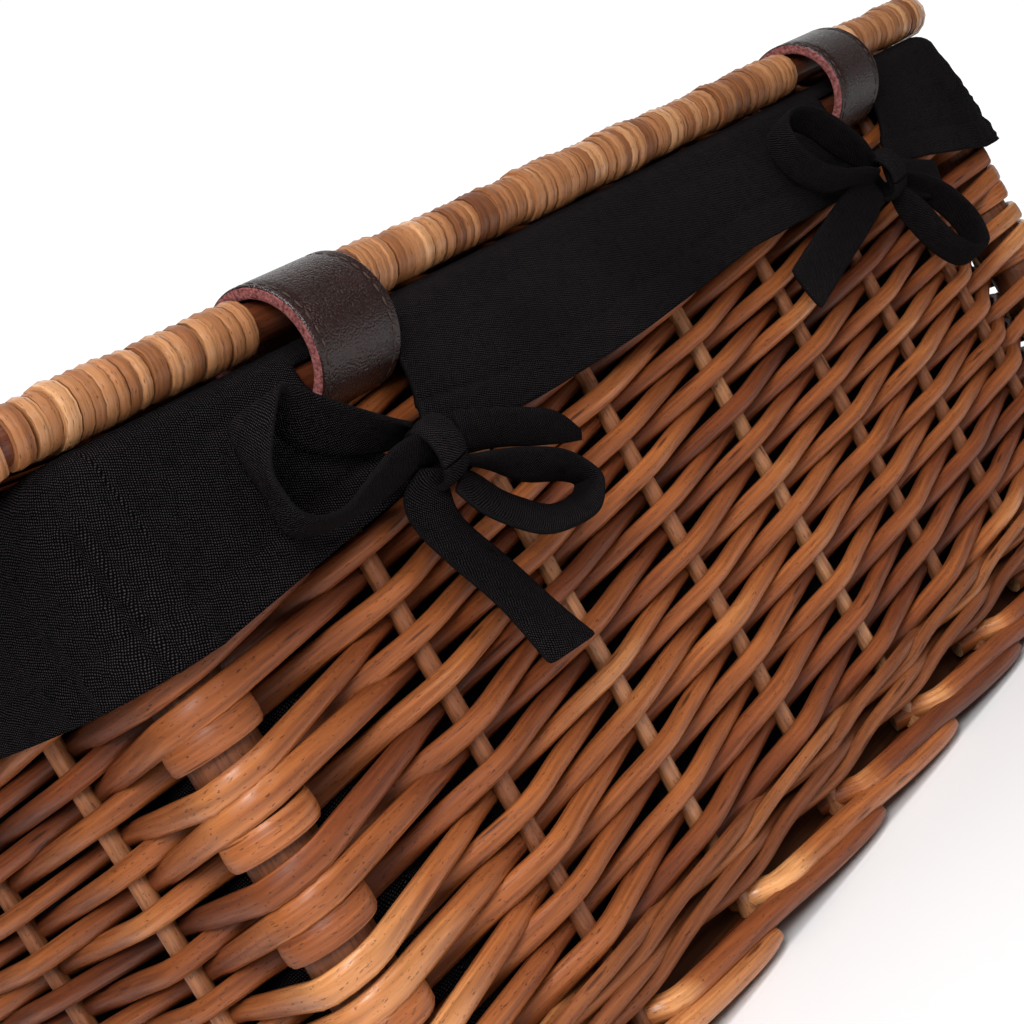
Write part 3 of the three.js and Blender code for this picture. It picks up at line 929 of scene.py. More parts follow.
@dataclass
class WallWeave(SubAssembly):
    """Weavers that climb round the walls, one from each upright, in front of every second one."""

    weaver: float = 2.45
    pitch: float = 10.2
    start: float = 31.0
    top: float = 150.6
    straight: tuple[float, ...] = (0.34, 0.5, 0.66)
    press: float = 0.4
    flatness: float = 0.46
    broadening: float = 0.26
    squaring: float = 0.35
    post_gap: float = 0.25
    post_shifts: tuple[float, float] = (1.6, -2.2)
    post_rise: float = 1.6
    wrap_half: float = 3.1
    wrap_thick: float = 1.1
    wrap_drop: float = 4.1
    wrap_turn: float = 2.7
    wrap_rise: float = 1.1
    step: float = 4.2

    def build(self) -> None:
        """Builds and dresses the weave."""
        rods = RodMesh("wall_weave", 11)
        for first in range(len(self.plan.uprights)):
            rows = self._path(first, rods.chance)
            taper = np.linspace(1.05, 0.93, len(rows)) * rods.chance.normal(1.0, 0.05)
            knots = np.arange(0, len(rows) + 9, 9)
            lumps = np.interp(np.arange(len(rows)), knots, rods.chance.normal(1.0, 0.035, len(knots)))
            size = self.weaver * taper * lumps
            flat = np.clip(rows[:, 3], 0, 1)
            tone = np.clip(rods.chance.normal(0.46, 0.13), 0.2, 0.75)
            rods.sweep(
                rows,
                size * (1 - self.flatness * flat),
                size * (1 + self.broadening * flat),
                # Painted shade and highlight: the tone is darkened where the weaver passes behind an
                # upright and lightened where it passes in front, and lightened again as a painted
                # highlight on the flattened turns round a corner post.
                tone + 0.17 * rows[:, 4] + 0.1 * flat,
                squareness=1 - self.squaring * flat,
            )
        for upright in self.plan.uprights:
            if upright.post:
                self._turns(rods, upright)
        piece = rods.finish(self.finishes.weaver, self.finishes.cut)
        settle(piece, Body.BASKET, "weave", *nodes_like("wall_", "corner_wrap_"))

    def _path(self, first: int, chance: np.random.Generator) -> np.ndarray:
        """Finds one weaver's centre line.

        Args:
            first: The upright that it first passes in front of.
            chance: Source of small differences.

        Returns:
            Rows of place, how flat it lies there, and how far it stands forward.
        """
        uprights = self.plan.uprights
        steps = int((self.top - self.start) / (self.pitch / 2))
        passes = []
        for j in range(-1, steps + 2):
            way = Pass.FRONT if j % 2 == 0 else Pass.BEHIND
            height = self.start + j * self.pitch / 2 + chance.normal(0, 0.35)
            passes.append(self._pass(uprights[(first + j) % len(uprights)], way, height, chance))
        rows = []
        for here, after in zip(passes, passes[1:]):
            rows.extend(here)
            start, end = np.array(here[-1]), np.array(after[0])
            rows.extend(tuple(start + (end - start) * share) for share in self.straight)
        return even_steps(smooth_path(np.array(rows), 6), self.step)

    def _pass(
        self, upright: Upright, way: Pass, height: float, chance: np.random.Generator
    ) -> list[tuple[float, ...]]:
        """Gives the places where a weaver passes one upright.

        Args:
            upright: The upright.
            way: The side that the weaver takes.
            height: The weaver's height there.
            chance: Source of small differences.

        Returns:
            Rows of place, how flat it lies there, and how far it stands forward.
        """
        if not upright.post:
            out = way.value * (upright.radius + self.weaver * self.press) + chance.normal(0, 0.12)
            return [(*(upright.centre + upright.out * out), height, 0.0, way.value)]
        thick = self.weaver * (1 - self.flatness)
        if way is Pass.BEHIND:
            back = upright.centre - upright.out * (upright.radius + thick + 0.3)
            return [(*back, height, 0.8, way.value)]
        row = round((height - self.start) / self.pitch)
        level = height + self.post_shifts[row % 2]
        places = upright.bend_round(upright.radius + self.post_gap + thick, BENDS)
        climb = level + BEND_SHARES * self.post_rise
        return [(*place, z, 1.0, way.value) for place, z in zip(places, climb)]

    def _turns(self, rods: RodMesh, post: Upright) -> None:
        """Adds the short turns that fill in round a corner post.

        Args:
            rods: The mesh that they go into.
            post: The post.
        """
        across = np.linspace(-1.0, 1.0, 26)
        places = post.bend_round(post.radius + self.post_gap + self.wrap_thick, across * self.wrap_turn)
        height = self.start + 2 * self.pitch - self.wrap_drop
        while height < self.top:
            climb = height + rods.chance.normal(0, 0.3) + across * self.wrap_rise
            tone = rods.chance.uniform(0.4, 0.8)
            path = np.column_stack((places, climb))
            rods.sweep(path, self.wrap_thick, self.wrap_half, tone, squareness=0.7)
            height += 2 * self.pitch


@dataclass
class Uprights(SubAssembly):
    """The stakes and corner posts.

    Attributes:
        stake_look: Faces round a stake, how freely it sways, and its tones.
        post_look: The same for a corner post.
    """

    bottom: float = 8.5
    top: float = 151.6
    marks: int = 15
    sway: float = 0.12
    stake_look: tuple[int, float, Span] = (10, 1.0, (0.3, 0.9))
    post_look: tuple[int, float, Span] = (20, 0.4, (0.1, 0.4))

    def build(self) -> None:
        """Builds and dresses the stakes and posts."""
        rods = RodMesh("stakes", 23)
        share = np.linspace(0, 1, self.marks)[:, None]
        heights = np.linspace(self.bottom, self.top, self.marks)
        for upright in self.plan.uprights:
            sway = np.cumsum(rods.chance.normal(0, self.sway, (self.marks, 2)), axis=0)
            sway -= share * sway[-1]
            sides, ease, tones = self.post_look if upright.post else self.stake_look
            path = np.column_stack((upright.centre + sway * ease, heights))
            path = even_steps(smooth_path(path, 2), 5.0)
            tone = rods.chance.uniform(*tones)
            rods.sweep(path, upright.radius, upright.radius, tone, sides, ALONG_X)
        piece = rods.finish(self.finishes.stake, self.finishes.cut)
        settle(piece, Body.BASKET, "stake", *nodes_like("stake_", "corner_post_"))


@dataclass
class Upsett(SubAssembly):
    """Two rounds of three thin rods that open the walls: in front of two uprights, behind one."""

    rod: float = 1.85
    levels: tuple[float, ...] = (18.3, 24.3)
    spread: float = 1.75
    carry: float = 3.6
    drifts: tuple[float, ...] = (0.0, 0.6, -0.6)
    overlap: float = 0.9
    post_gap: float = 0.3

    def build(self) -> None:
        """Builds and dresses the rounds."""
        rods = RodMesh("upsett", 31)
        for level in self.levels:
            for strand in range(3):
                path = smooth_path(self._round(level, strand, rods.chance), 7)
                size = self.rod * rods.chance.normal(1.0, 0.05)
                tone = float(np.clip(rods.chance.normal(0.5, 0.2), 0, 1))
                rods.sweep(even_steps(path, 4.0), size * 0.95, size, tone, 8)
        piece = rods.finish(self.finishes.upsett, self.finishes.cut)
        settle(piece, Body.BASKET, "weave")

    def _round(self, level: float, strand: int, chance: np.random.Generator) -> np.ndarray:
        """Leads one rod once round the basket.

        Args:
            level: The round's height.
            strand: Which of the three rods it is.
            chance: Source of small differences.

        Returns:
            The places that it passes, with the first repeated at the end.
        """
        uprights = self.plan.uprights
        rows = []
        for i, here in enumerate(uprights):
            after = uprights[(i + 1) % len(uprights)]
            phase = (i - strand) % 3
            height = level + (-self.spread, self.spread, 0.0)[phase]
            rows.extend(self._pass(here, phase, height, chance))
            way = (here.out + after.out) / 2
            ahead = self.plan.between(here, after) + way * (self.carry if phase == 0 else 0.0)
            rows.append((*ahead, level + self.drifts[phase]))
        return np.array([*rows, rows[0]])

    def _pass(
        self, upright: Upright, phase: int, height: float, chance: np.random.Generator
    ) -> list[tuple[float, ...]]:
        """Gives the places where a rod passes one upright.

        Args:
            upright: The upright.
            phase: 0 and 1 for the two in front, and 2 for the one behind.
            height: The rod's height there.
            chance: Source of small differences.

        Returns:
            The places.
        """
        way = Pass.BEHIND if phase == 2 else Pass.FRONT
        if not upright.post:
            out = way.value * (upright.radius + self.rod) + (self.overlap if phase == 1 else 0.0)
            return [(*(upright.centre + upright.out * out), height + chance.normal(0, 0.2))]
        reach = upright.radius + self.rod + self.post_gap
        if way is Pass.BEHIND:
            return [(*(upright.centre - upright.out * reach), height)]
        return [(*place, height) for place in upright.bend_round(reach, BENDS)]


@dataclass
class FootBorder(SubAssembly):
    """The border that the basket stands on: each stake's rod bent over and laid along the next two.

    Attributes:
        rises: Distance along the wall, distance out and height, from the stake to the rod's tip.
    """

    rod: float = 3.15
    step: float = 3.5
    tip: tuple[float, ...] = (0.96, 0.88, 0.66)
    kink: float = 12.0
    kink_width: float = 7.0
    inner_rod: float = 3.4
    inner_out: float = -3.4
    inner_height: float = 4.6
    rises: tuple[tuple[float, float, float], ...] = (
        (-3.0, -3.5, 11.8),
        (2.5, 1.2, 11.4),
        (7.0, 4.6, 10.2),
        (20.0, 5.4, 9.2),
        (45.0, 5.9, 7.4),
        (68.0, 6.4, 5.0),
        (84.0, 6.4, 3.8),
        (95.0, 6.0, 3.2),
    )

    def build(self) -> None:
        """Builds and dresses the border."""
        rods = RodMesh("foot_rods", 41)
        table = smooth_path(np.array(self.rises), 8)
        for upright in self.plan.uprights:
            places, _ = self.plan.place(self.plan.run_of(upright) + table[:, 0], table[:, 1])
            path = np.column_stack((places, table[:, 2] + rods.chance.normal(0, 0.15)))
            path = even_steps(path, self.step)
            size = self.rod * rods.chance.normal(0.97, 0.03) * np.linspace(1.0, 0.86, len(path))
            size[-len(self.tip):] *= self.tip
            bent = bell(np.arange(len(path)) * self.step - self.kink, self.kink_width)
            tone = np.clip(rods.chance.normal(0.45, 0.2), 0, 0.9) + 0.5 * bent
            rods.sweep(path, size, np.minimum(size, path[:, 2] - 0.05), tone, 12)
        self._inner_ring(rods)
        piece = rods.finish(self.finishes.weaver, self.finishes.cut)
        settle(piece, Body.BASKET, "weave", "foot_border")

    def _inner_ring(self, rods: RodMesh) -> None:
        """Adds the rod that lies inside the border.

        Args:
            rods: The mesh that it goes into.
        """
        runs = np.arange(0.0, self.plan.length + 4.0, 4.0)
        places, _ = self.plan.place(runs, np.full_like(runs, self.inner_out))
        path = np.column_stack((places, np.full(len(runs), self.inner_height)))
        path[-1] = path[0]
        rods.sweep(path, self.inner_rod, self.inner_rod, 0.3, closed=True)


@dataclass
class RimRod(SubAssembly):
    """The rod along the top of the walls, under the cloth."""

    radius: float = 5.9
    height: float = 158.0
    bend: float = 8.4

    def build(self) -> None:
        """Builds and dresses the rod."""
        plan = self.plan
        rods = RodMesh("rim_rod", 53)
        bends = ring_bends(plan.half_x, plan.half_y, plan.middle_y, self.bend, self.height)
        path = even_steps(np.vstack((bends, bends[:1])), 5.0)
        path[-1] = path[0]
        rods.sweep(path, self.radius, self.radius, 0.5, 14, closed=True)
        piece = rods.finish(self.finishes.rod, self.finishes.cut)
        settle(piece, Body.BASKET, "rod", *nodes_like("rim_"))


# Lid


@dataclass
class Lid(SubAssembly):
    """The lid: a rod frame bound with skein, filled with weave round seven sticks.

    Attributes:
        bare: Half the length of rod left bare in each hinge loop.
        room: Space beside a bare length where the weave stops.
        notch: How far in the weave stops there.
        low: The frame's front left corner, on the rod's axis.
        high: The frame's back right corner, on the rod's axis.
        hinges: Where the hinge loops stand along the back.
    """

    rod: float = 4.5
    binding: float = 6.4
    bend: float = 14.0
    bare: float = 14.0
    room: float = 3.0
    notch: float = 18.5
    skein: float = 3.5
    skein_range: Span = (0.78, 1.22)
    lap: float = 1.02
    strip: float = 1.0
    stick: float = 2.0
    short_stick: float = 20.0
    weaver: float = 1.95
    pitch: float = 4.15
    tuck: float = 0.9
    corner: float = 8.0
    sticks: tuple[float, ...] = (-147.0, -98.0, -49.0, 0.0, 49.0, 98.0, 147.0)
    low: np.ndarray = field(init=False)
    high: np.ndarray = field(init=False)
    hinges: tuple[float, ...] = field(init=False)

    def __post_init__(self) -> None:
        """Reads the lid's place from its nodes."""
        low, high = (np.array(corner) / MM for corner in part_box("lid_rod"))
        half = (high[2] - low[2]) / 2
        self.low, self.high = low + half, high - half
        self.hinges = tuple(
            float(sum(corner.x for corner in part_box(f"hinge_loop_{side.value}")) / 2 / MM)
            for side in (Side.LEFT, Side.RIGHT)
        )

    def build(self) -> None:
        """Builds and dresses the frame, its binding and the weave."""
        finishes = self.finishes
        frame_rod = RodMesh("lid_frame_rod", 61)
        frame_rod.sweep(self._frame_path(5.0), self.rod, self.rod, 0.5, 14, closed=True)
        settle(frame_rod.finish(finishes.rod, finishes.cut), Body.LID, "rod", "lid_rod")
        binding = self._binding().finish(finishes.skein, finishes.cut)
        settle(binding, Body.LID, "skein", *nodes_like("binding_"))
        weave = self._weave().finish(finishes.weaver, finishes.cut)
        settle(weave, Body.LID, "weave", "lid_panel")

    def _frame_path(self, step: float) -> np.ndarray:
        """Gives the frame's centre line.

        Args:
            step: Distance between its rows.

        Returns:
            A closed path, anticlockwise from the middle of the right end.
        """
        x, back, height = self.high
        half, middle = (back - self.low[1]) / 2, (back + self.low[1]) / 2
        start = ((x, middle, height),)
        path = np.vstack((start, ring_bends(x, half, middle, self.bend, height), start))
        path = even_steps(path, step)
        path[-1] = path[0]
        return path

    def _is_bare(self, place: np.ndarray) -> bool:
        """Tells whether the rod is left bare there for a hinge loop."""
        on_back = place[1] > self.high[1] - 2
        return on_back and any(abs(place[0] - hinge) < self.bare for hinge in self.hinges)

    def _binding(self) -> RodMesh:
        """Winds the skein round the rod.

        Returns:
            The turns.
        """
        rods = RodMesh("lid_binding", 67)
        fine = self._frame_path(1.0)
        ahead = unit(np.gradient(fine, axis=0))
        at, last, made = 0.0, len(fine) - 2, 0
        swell = rods.chance.normal(0, 1, 400)
        while at < last:
            width = self.skein * rods.chance.uniform(*self.skein_range)
            i = int(at + width / 2)
            at += width * self.lap
            if i >= last or self._is_bare(fine[i]):
                continue
            lump = 0.28 * swell[made // 5 % 400] + 0.16 * rods.chance.normal()
            self._turn(rods, fine[i], ahead[i], width, float(np.clip(lump, -0.5, 0.45)))
            made += 1
        return rods

    def _turn(
        self, rods: RodMesh, place: np.ndarray, ahead: np.ndarray, width: float, lump: float
    ) -> None:
        """Adds one turn of skein.

        Args:
            rods: The mesh that it goes into.
            place: Its middle on the rod's axis.
            ahead: The rod's direction there.
            width: The skein's width.
            lump: How far this turn stands out.
        """
        side = np.cross(UP, ahead)
        turn = np.linspace(0.0, 2 * math.pi, 15)[:, None]
        reach = self.binding - self.strip + lump
        tilt = rods.chance.normal(0.55, 0.18)
        lean = rods.chance.normal(0.6, 0.35)
        path = place + reach * (np.cos(turn) * side + np.sin(turn) * UP)
        path = path + ahead * tilt * np.sin(turn + lean)
        path[-1] = path[0]
        tone = float(np.clip(rods.chance.normal(0.55, 0.2), 0, 1))
        rods.sweep(path, self.strip, width * 0.49, tone, 6, ahead, True, 0.6)

    def _weave(self) -> RodMesh:
        """Weaves the lid's panel.

        Returns:
            The sticks and weavers.
        """
        rods = RodMesh("lid_weave", 71)
        inset = self.binding + 0.8
        middle = self.high[2] - 0.5
        front, back = self.low[1] + inset, self.high[1] - inset
        for x in self.sticks:
            near = any(abs(x - hinge) < self.bare + 2 for hinge in self.hinges)
            ends = front + 0.5, back - (self.short_stick if near else 0.5)
            path = np.column_stack((np.full(40, x), np.linspace(*ends, 40), np.full(40, middle)))
            rods.sweep(path, self.stick, self.stick, rods.chance.uniform(0.3, 0.8))
        depth = back - front - 2 * self.weaver
        rows = int(depth / self.pitch)
        for row in range(rows + 1):
            y = front + self.weaver + row * (depth / rows)
            for start, end in self._stretches(y, back):
                self._weaver(rods, (start, end), y, middle, row)
        return rods

    def _stretches(self, y: float, back: float) -> list[Span]:
        """Splits a row where a hinge loop needs room, and draws it in at the corners.

        Args:
            y: The row's place.
            back: Where the weave ends at the back.

        Returns:
            Where each stretch starts and ends.
        """
        edge = self.high[0] - self.binding + self.tuck
        from_end = min(y - self.low[1] - self.binding, self.high[1] - self.binding - y)
        edge -= max(0.0, self.corner - from_end) * 0.9
        if back - y > self.notch:
            return [(-edge, edge)]
        room = self.bare + self.room
        left, right = sorted(self.hinges)
        return [(-edge, left - room), (left + room, right - room), (right + room, edge)]

    def _weaver(
        self, rods: RodMesh, stretch: tuple[float, float], y: float, middle: float, row: int
    ) -> None:
        """Adds one weaver of the lid, over and under the sticks in turn.

        Args:
            rods: The mesh that it goes into.
            stretch: Where it starts and ends.
            y: Its place from front to back.
            middle: The sticks' height.
            row: The row's number.
        """
        start, end = stretch
        rows = [(start, 0.0)]
        for i, x in enumerate(self.sticks):
            if start < x < end:
                rows.append((x, 1.0 if (i + row) % 2 else -1.0))
                if i + 1 < len(self.sticks) and self.sticks[i + 1] < end:
                    rows.append(((x + self.sticks[i + 1]) / 2, 0.0))
        rows.append((end, 0.0))
        lift = self.stick + self.weaver * 0.85
        points = np.array([(x, y + rods.chance.normal(0, 0.15), middle + side * lift) for x, side in rows])
        path = even_steps(smooth_path(points, 6), 6.5)
        size = self.weaver * rods.chance.normal(1.0, 0.05)
        tone = float(np.clip(rods.chance.normal(0.46, 0.13), 0.2, 0.75))
        rods.sweep(path, size, size, tone, 8)


# Leather


@dataclass
class HingeLoop(SubAssembly):
    """A strap of leather sewn along both edges and closed round the rim and the lid's rod.

    Attributes:
        side: The end of the basket that it is nearer to.
        crease: How deep the seam lies along each edge.
        seam: The seam's distance from an edge's bevel.
        thread: Half the thread's width, and half its height.
        centre: The loop's centre.
        outer: Its outer radius.
        half: Half its width.
    """

    side: Side
    leather: float = 3.0
    edge: float = 0.7
    steps: int = 72
    cuts: int = 15
    crease: float = 0.32
    seam: float = 2.0
    stitch: float = 2.3
    stitch_gap: float = 3.1
    thread: tuple[float, float] = (0.3, 0.26)
    centre: np.ndarray = field(init=False)
    outer: float = field(init=False)
    half: float = field(init=False)

    def __post_init__(self) -> None:
        """Reads the loop's place from its node."""
        low, high = (np.array(corner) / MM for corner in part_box(f"hinge_loop_{self.side.value}"))
        self.centre = (low + high) / 2
        self.outer = (high[2] - low[2]) / 2
        self.half = (high[0] - low[0]) / 2

    def build(self) -> None:
        """Builds and dresses the loop and its stitches."""
        bm = bmesh.new()
        seam = self._profile(bm)
        bmesh.ops.spin(
            bm, geom=bm.edges[:], cent=tuple(self.centre * MM), axis=(1, 0, 0), angle=2 * math.pi,
            steps=self.steps, use_merge=True,
        )
        bmesh.ops.remove_doubles(bm, verts=bm.verts[:], dist=1e-6)
        bmesh.ops.recalc_face_normals(bm, faces=bm.faces[:])
        self._mark_raw(bm)
        finishes, side = self.finishes, self.side.value
        piece = mesh_object(f"hinge_leather_{side}", bm, (finishes.leather, finishes.suede))
        settle(piece, Body.BASKET, "leather", f"hinge_loop_{side}")
        self._stitches(seam)

    def _profile(self, bm: bmesh.types.BMesh) -> float:
        """Draws the strap's section over the loop's centre, with a crease along each edge.

        Args:
            bm: The mesh that it goes into.

        Returns:
            The creases' distance from the strap's middle.
        """
        half, inner, outer = self.half, self.outer - self.leather, self.outer
        corners = [(-half, inner), (half, inner), (half, outer), (-half, outer)]
        verts = [bm.verts.new((self.centre + (x, 0.0, r)) * MM) for x, r in corners]
        profile = bm.faces.new(verts)
        bmesh.ops.bevel(
            bm, geom=list(profile.verts), offset=self.edge * MM, segments=4, profile=0.5,
            affect="VERTICES", material=-1,
        )
        face = bm.faces[:][0]
        edges = face.edges[:]
        bmesh.ops.delete(bm, geom=[face], context="FACES_ONLY")
        long = [edge for edge in edges if edge.calc_length() > 10 * MM]
        bmesh.ops.subdivide_edges(bm, edges=long, cuts=self.cuts)
        outside = [v for v in bm.verts if v.co.z > (self.centre[2] + outer - 0.1) * MM]
        rows = sorted({round(v.co.x, 7) for v in outside})
        seam = min((x - rows[0] for x in rows), key=lambda gap: abs(gap - self.seam * MM))
        for vert in outside:
            if abs(min(vert.co.x - rows[0], rows[-1] - vert.co.x) - seam) < 1e-6:
                vert.co.z -= self.crease * MM
        return float((rows[-1] - seam) / MM - self.centre[0])

    def _mark_raw(self, bm: bmesh.types.BMesh) -> None:
        """Gives the cut edges and the flesh side the raw leather's slot.

        Args:
            bm: The closed loop.
        """
        grain, flesh = self.outer - 0.35, self.outer - self.leather + 0.4
        for face in bm.faces:
            middle = face.calc_center_median() / MM
            reach = math.hypot(middle.y - self.centre[1], middle.z - self.centre[2])
            on_edge = abs(middle.x - self.centre[0]) > self.half - 0.3
            face.material_index = int((on_edge or reach < flesh) and reach < grain)

    def _stitches(self, seam: float) -> None:
        """Sews a row of stitches into the crease along each edge of the loop.

        Args:
            seam: The creases' distance from the strap's middle.
        """
        bm = bmesh.new()
        reach = self.outer - self.crease
        count = int(2 * math.pi * reach / self.stitch_gap)
        across, up = self.thread
        size = Matrix.Diagonal((across * MM, self.stitch / 2 * MM, up * MM, 1.0))
        lift = Matrix.Translation((0, 0, (reach + 0.1) * MM))
        for side in (-1, 1):
            hub = Matrix.Translation((self.centre + (side * seam, 0.0, 0.0)) * MM)
            for i in range(count):
                turn = 2 * math.pi * (i + (0.25 if side > 0 else 0.0)) / count
                made = bmesh.ops.create_uvsphere(bm, u_segments=6, v_segments=4, radius=1.0)
                place = hub @ Matrix.Rotation(turn, 4, "X") @ lift @ size
                bmesh.ops.transform(bm, matrix=place, verts=made["verts"])
        piece = mesh_object(f"hinge_stitches_{self.side.value}", bm, (self.finishes.thread,))
        settle(piece, Body.BASKET, "leather")


# Cloth


class Cloth:
    """A sheet of cloth under construction, with its flat coordinates in metres."""

    def __init__(self) -> None:
        """Starts an empty sheet."""
        self.bm = bmesh.new()
        self.flat = self.bm.loops.layers.uv.new("cloth")

    def patch(self, places: np.ndarray, flat: np.ndarray) -> list[bmesh.types.BMVert]:
        """Adds a woven patch.

        Args:
            places: Rows and columns of places, in millimetres.
            flat: The same places on the flat cloth, in millimetres.

        Returns:
            The patch's vertices, row by row.
        """
        rows, columns = places.shape[:2]
        made = bmesh.ops.create_grid(self.bm, x_segments=columns - 1, y_segments=rows - 1, size=1.0)
        verts = made["verts"]
        spots = dict(zip(verts, flat.reshape(-1, 2) * MM))
        for vert, place in zip(verts, places.reshape(-1, 3) * MM):
            vert.co = place
        for face in {face for vert in verts for face in vert.link_faces}:
            for loop in face.loops:
                loop[self.flat].uv = spots[loop.vert]
        return verts

    def finish(self, name: str, finishes: Finishes, thick: float, levels: int = 1) -> bpy.types.Object:
        """Gives the sheet its thickness.

        Args:
            name: The object's name.
            finishes: The materials.
            thick: The cloth's thickness.
            levels: Subdivision levels.

        Returns:
            The object.
        """
        piece = mesh_object(name, self.bm, (finishes.cloth, finishes.hem), 180.0)
        solidify = piece.modifiers.new("thickness", "SOLIDIFY")
        solidify.thickness = thick * MM
        solidify.offset = 0.0
        solidify.material_offset_rim = 1
        if levels:
            rounding = piece.modifiers.new("rounding", "SUBSURF")
            rounding.levels = rounding.render_levels = levels
        return piece


@dataclass
class Lining(SubAssembly):
    """A cotton bag inside the walls, turned out over the rim and hanging outside as a skirt.

    Attributes:
        hinges: Where the leather loops pass, along the back wall.
        hem: Depth of the sewn hem.
        doubled: How much thicker the hem is.
        stitched: How deep its seam lies.
        pulls: How far the flaps before and after each slit are drawn together.
        flap_rise: How far the second flap is drawn up.
        flap_reach: How far along each flap the pull is felt.
        back_hem: Places along the back wall, and the hem's height there.
        folds: Place, lean, width and depth of each fold by a corner.
        waves: Height, number, start and change down the skirt of each row of waves.
    """

    hinges: tuple[float, ...]
    inner: float = 8.55
    floor: float = 14.9
    wall_top: float = 150.6
    rim: float = 158.0
    rim_reach: float = 6.9
    shoulder: float = 156.0
    skirt: float = 8.9
    corner_hem: float = 122.0
    middle_hem: float = 132.5
    corner_reach: float = 110.0
    slit: float = 26.6
    hole_ease: float = 0.9
    inside_rows: int = 14
    skirt_rows: int = 30
    corner_columns: int = 45
    column_gap: float = 3.2
    hem: float = 8.6
    doubled: float = 0.35
    stitched: float = 0.45
    curl: float = 0.8
    flap_rise: float = 5.0
    flap_reach: Span = (21.0, 24.0)
    thick: float = 1.1
    pulls: tuple[Span, ...] = ((0.5, 21.0), (12.0, 7.5))
    back_hem: tuple[tuple[float, float], ...] = (
        (-183.0, 122.0),
        (-150.0, 128.0),
        (-110.0, 131.5),
        (-31.0, 133.6),
        (30.0, 129.8),
        (75.0, 128.4),
        (102.0, 131.0),
        (131.0, 128.0),
        (160.0, 124.6),
        (183.0, 122.0),
    )
    folds: tuple[tuple[float, float, float, float], ...] = (
        (-30.0, 14.0, 3.2, 0.55),
        (-20.0, 11.0, 2.4, -0.5),
        (-12.0, 5.0, 2.6, 0.6),
        (-5.5, 1.0, 1.8, -0.45),
        (6.0, -2.0, 2.2, 0.4),
        (15.0, -9.0, 3.4, -0.35),
    )
    waves: tuple[tuple[float, float, float, float], ...] = (
        (0.45, 9, 0.7, 0.0),
        (0.35, 17, 2.1, 1.3),
        (0.18, 41, 0.0, -2.0),
    )

    def build(self) -> None:
        """Builds and dresses the lining, with a slit and a hole at each hinge."""
        slits, holes = self._spans(1.0), self._spans(self._inner_draw())
        runs = self._stations([edge for span in (*slits, *holes) for edge in span])
        section = self._profile(self._hem_height(runs))
        rows = section.shape[1]
        grid = self._hang(runs, section, slits)
        grid = np.concatenate((grid, grid[:1]))
        down = travelled(section)
        across = travelled(grid[:, rows - self.skirt_rows // 2])
        flat = np.stack(
            np.broadcast_arrays(across[:, None], np.concatenate((down, down[:1]))), axis=-1
        )
        cloth = Cloth()
        verts = np.array(cloth.patch(grid, flat)).reshape(-1, rows)
        self._cut(cloth, verts, runs, slits, range(rows - self.skirt_rows - 1, rows - 1))
        self._cut(cloth, verts, runs, holes, (self.inside_rows - 1,))
        bmesh.ops.remove_doubles(cloth.bm, verts=cloth.bm.verts[:], dist=1e-6)
        self._lay_floor(cloth)
        bmesh.ops.recalc_face_normals(cloth.bm, faces=cloth.bm.faces[:])
        piece = cloth.finish("cotton_lining", self.finishes, self.thick, levels=0)
        settle(piece, Body.BASKET, "cloth", "lining")

    def _spans(self, draw: float) -> list[Span]:
        """Finds where the cloth is cut for the leather loops.

        Args:
            draw: How much the sheet's columns draw together there.

        Returns:
            Where each cut starts and ends along the walls.
        """
        half, run = self.slit / 2, self.plan.run_on_back
        return [(run((x + half) / draw), run((x - half) / draw)) for x in self.hinges]

    def _inner_draw(self) -> float:
        """Finds how much the back wall's columns draw together inside, where the loops pass.

        Returns:
            A place's share of its distance from the middle.
        """
        probe = 100.0
        run, out = self.plan.run_on_back(probe), self.hole_ease - self.inner
        places, _ = self.plan.place(np.array((run,)), np.array((out,)))
        return float(places[0, 0]) / probe

    def _stations(self, edges: Sequence[float]) -> np.ndarray:
        """Lists the places along the walls that the sheet's columns stand at.

        Args:
            edges: Where cuts start and end.

        Returns:
            The places in order.
        """
        found = []
        for i, (start, end) in enumerate(zip(self.plan.starts[:-1], self.plan.starts[1:])):
            count = self.corner_columns if i % 2 else int((end - start) / self.column_gap)
            found.append(np.linspace(start, end, count))
        runs = np.unique(np.round(np.concatenate(found), 4))
        for edge in edges:
            runs = runs[np.abs(runs - edge) > 2.0]
            runs = np.concatenate((runs, (edge - 1.2, edge, edge + 1.2)))
        return np.sort(runs)

    def _past_corner(self, run: np.ndarray) -> np.ndarray:
        """Finds how far places are from the nearest corner.

        Args:
            run: Distances along the walls.

        Returns:
            The distances, which are negative before the corner.
        """
        starts, length = self.plan.starts, self.plan.length
        corners = (starts[1::2] + starts[2::2]) / 2
        off = (run[..., None] - corners + length / 2) % length - length / 2
        return np.take_along_axis(off, np.abs(off).argmin(-1)[..., None], -1)[..., 0]

    def _hem_height(self, run: np.ndarray) -> np.ndarray:
        """Finds the hem's height: low at the corners, higher between them.

        Args:
            run: Distances along the walls.

        Returns:
            The heights.
        """
        plan = self.plan
        rise = 1 - bell(self._past_corner(run), self.corner_reach)
        height = self.corner_hem + (self.middle_hem - self.corner_hem) * rise
        x = plan.half_x - plan.bend - (run - plan.starts[2])
        on_back = (run >= plan.starts[2]) & (run <= plan.starts[3])
        return np.where(on_back, np.interp(x, *zip(*self.back_hem)), height)

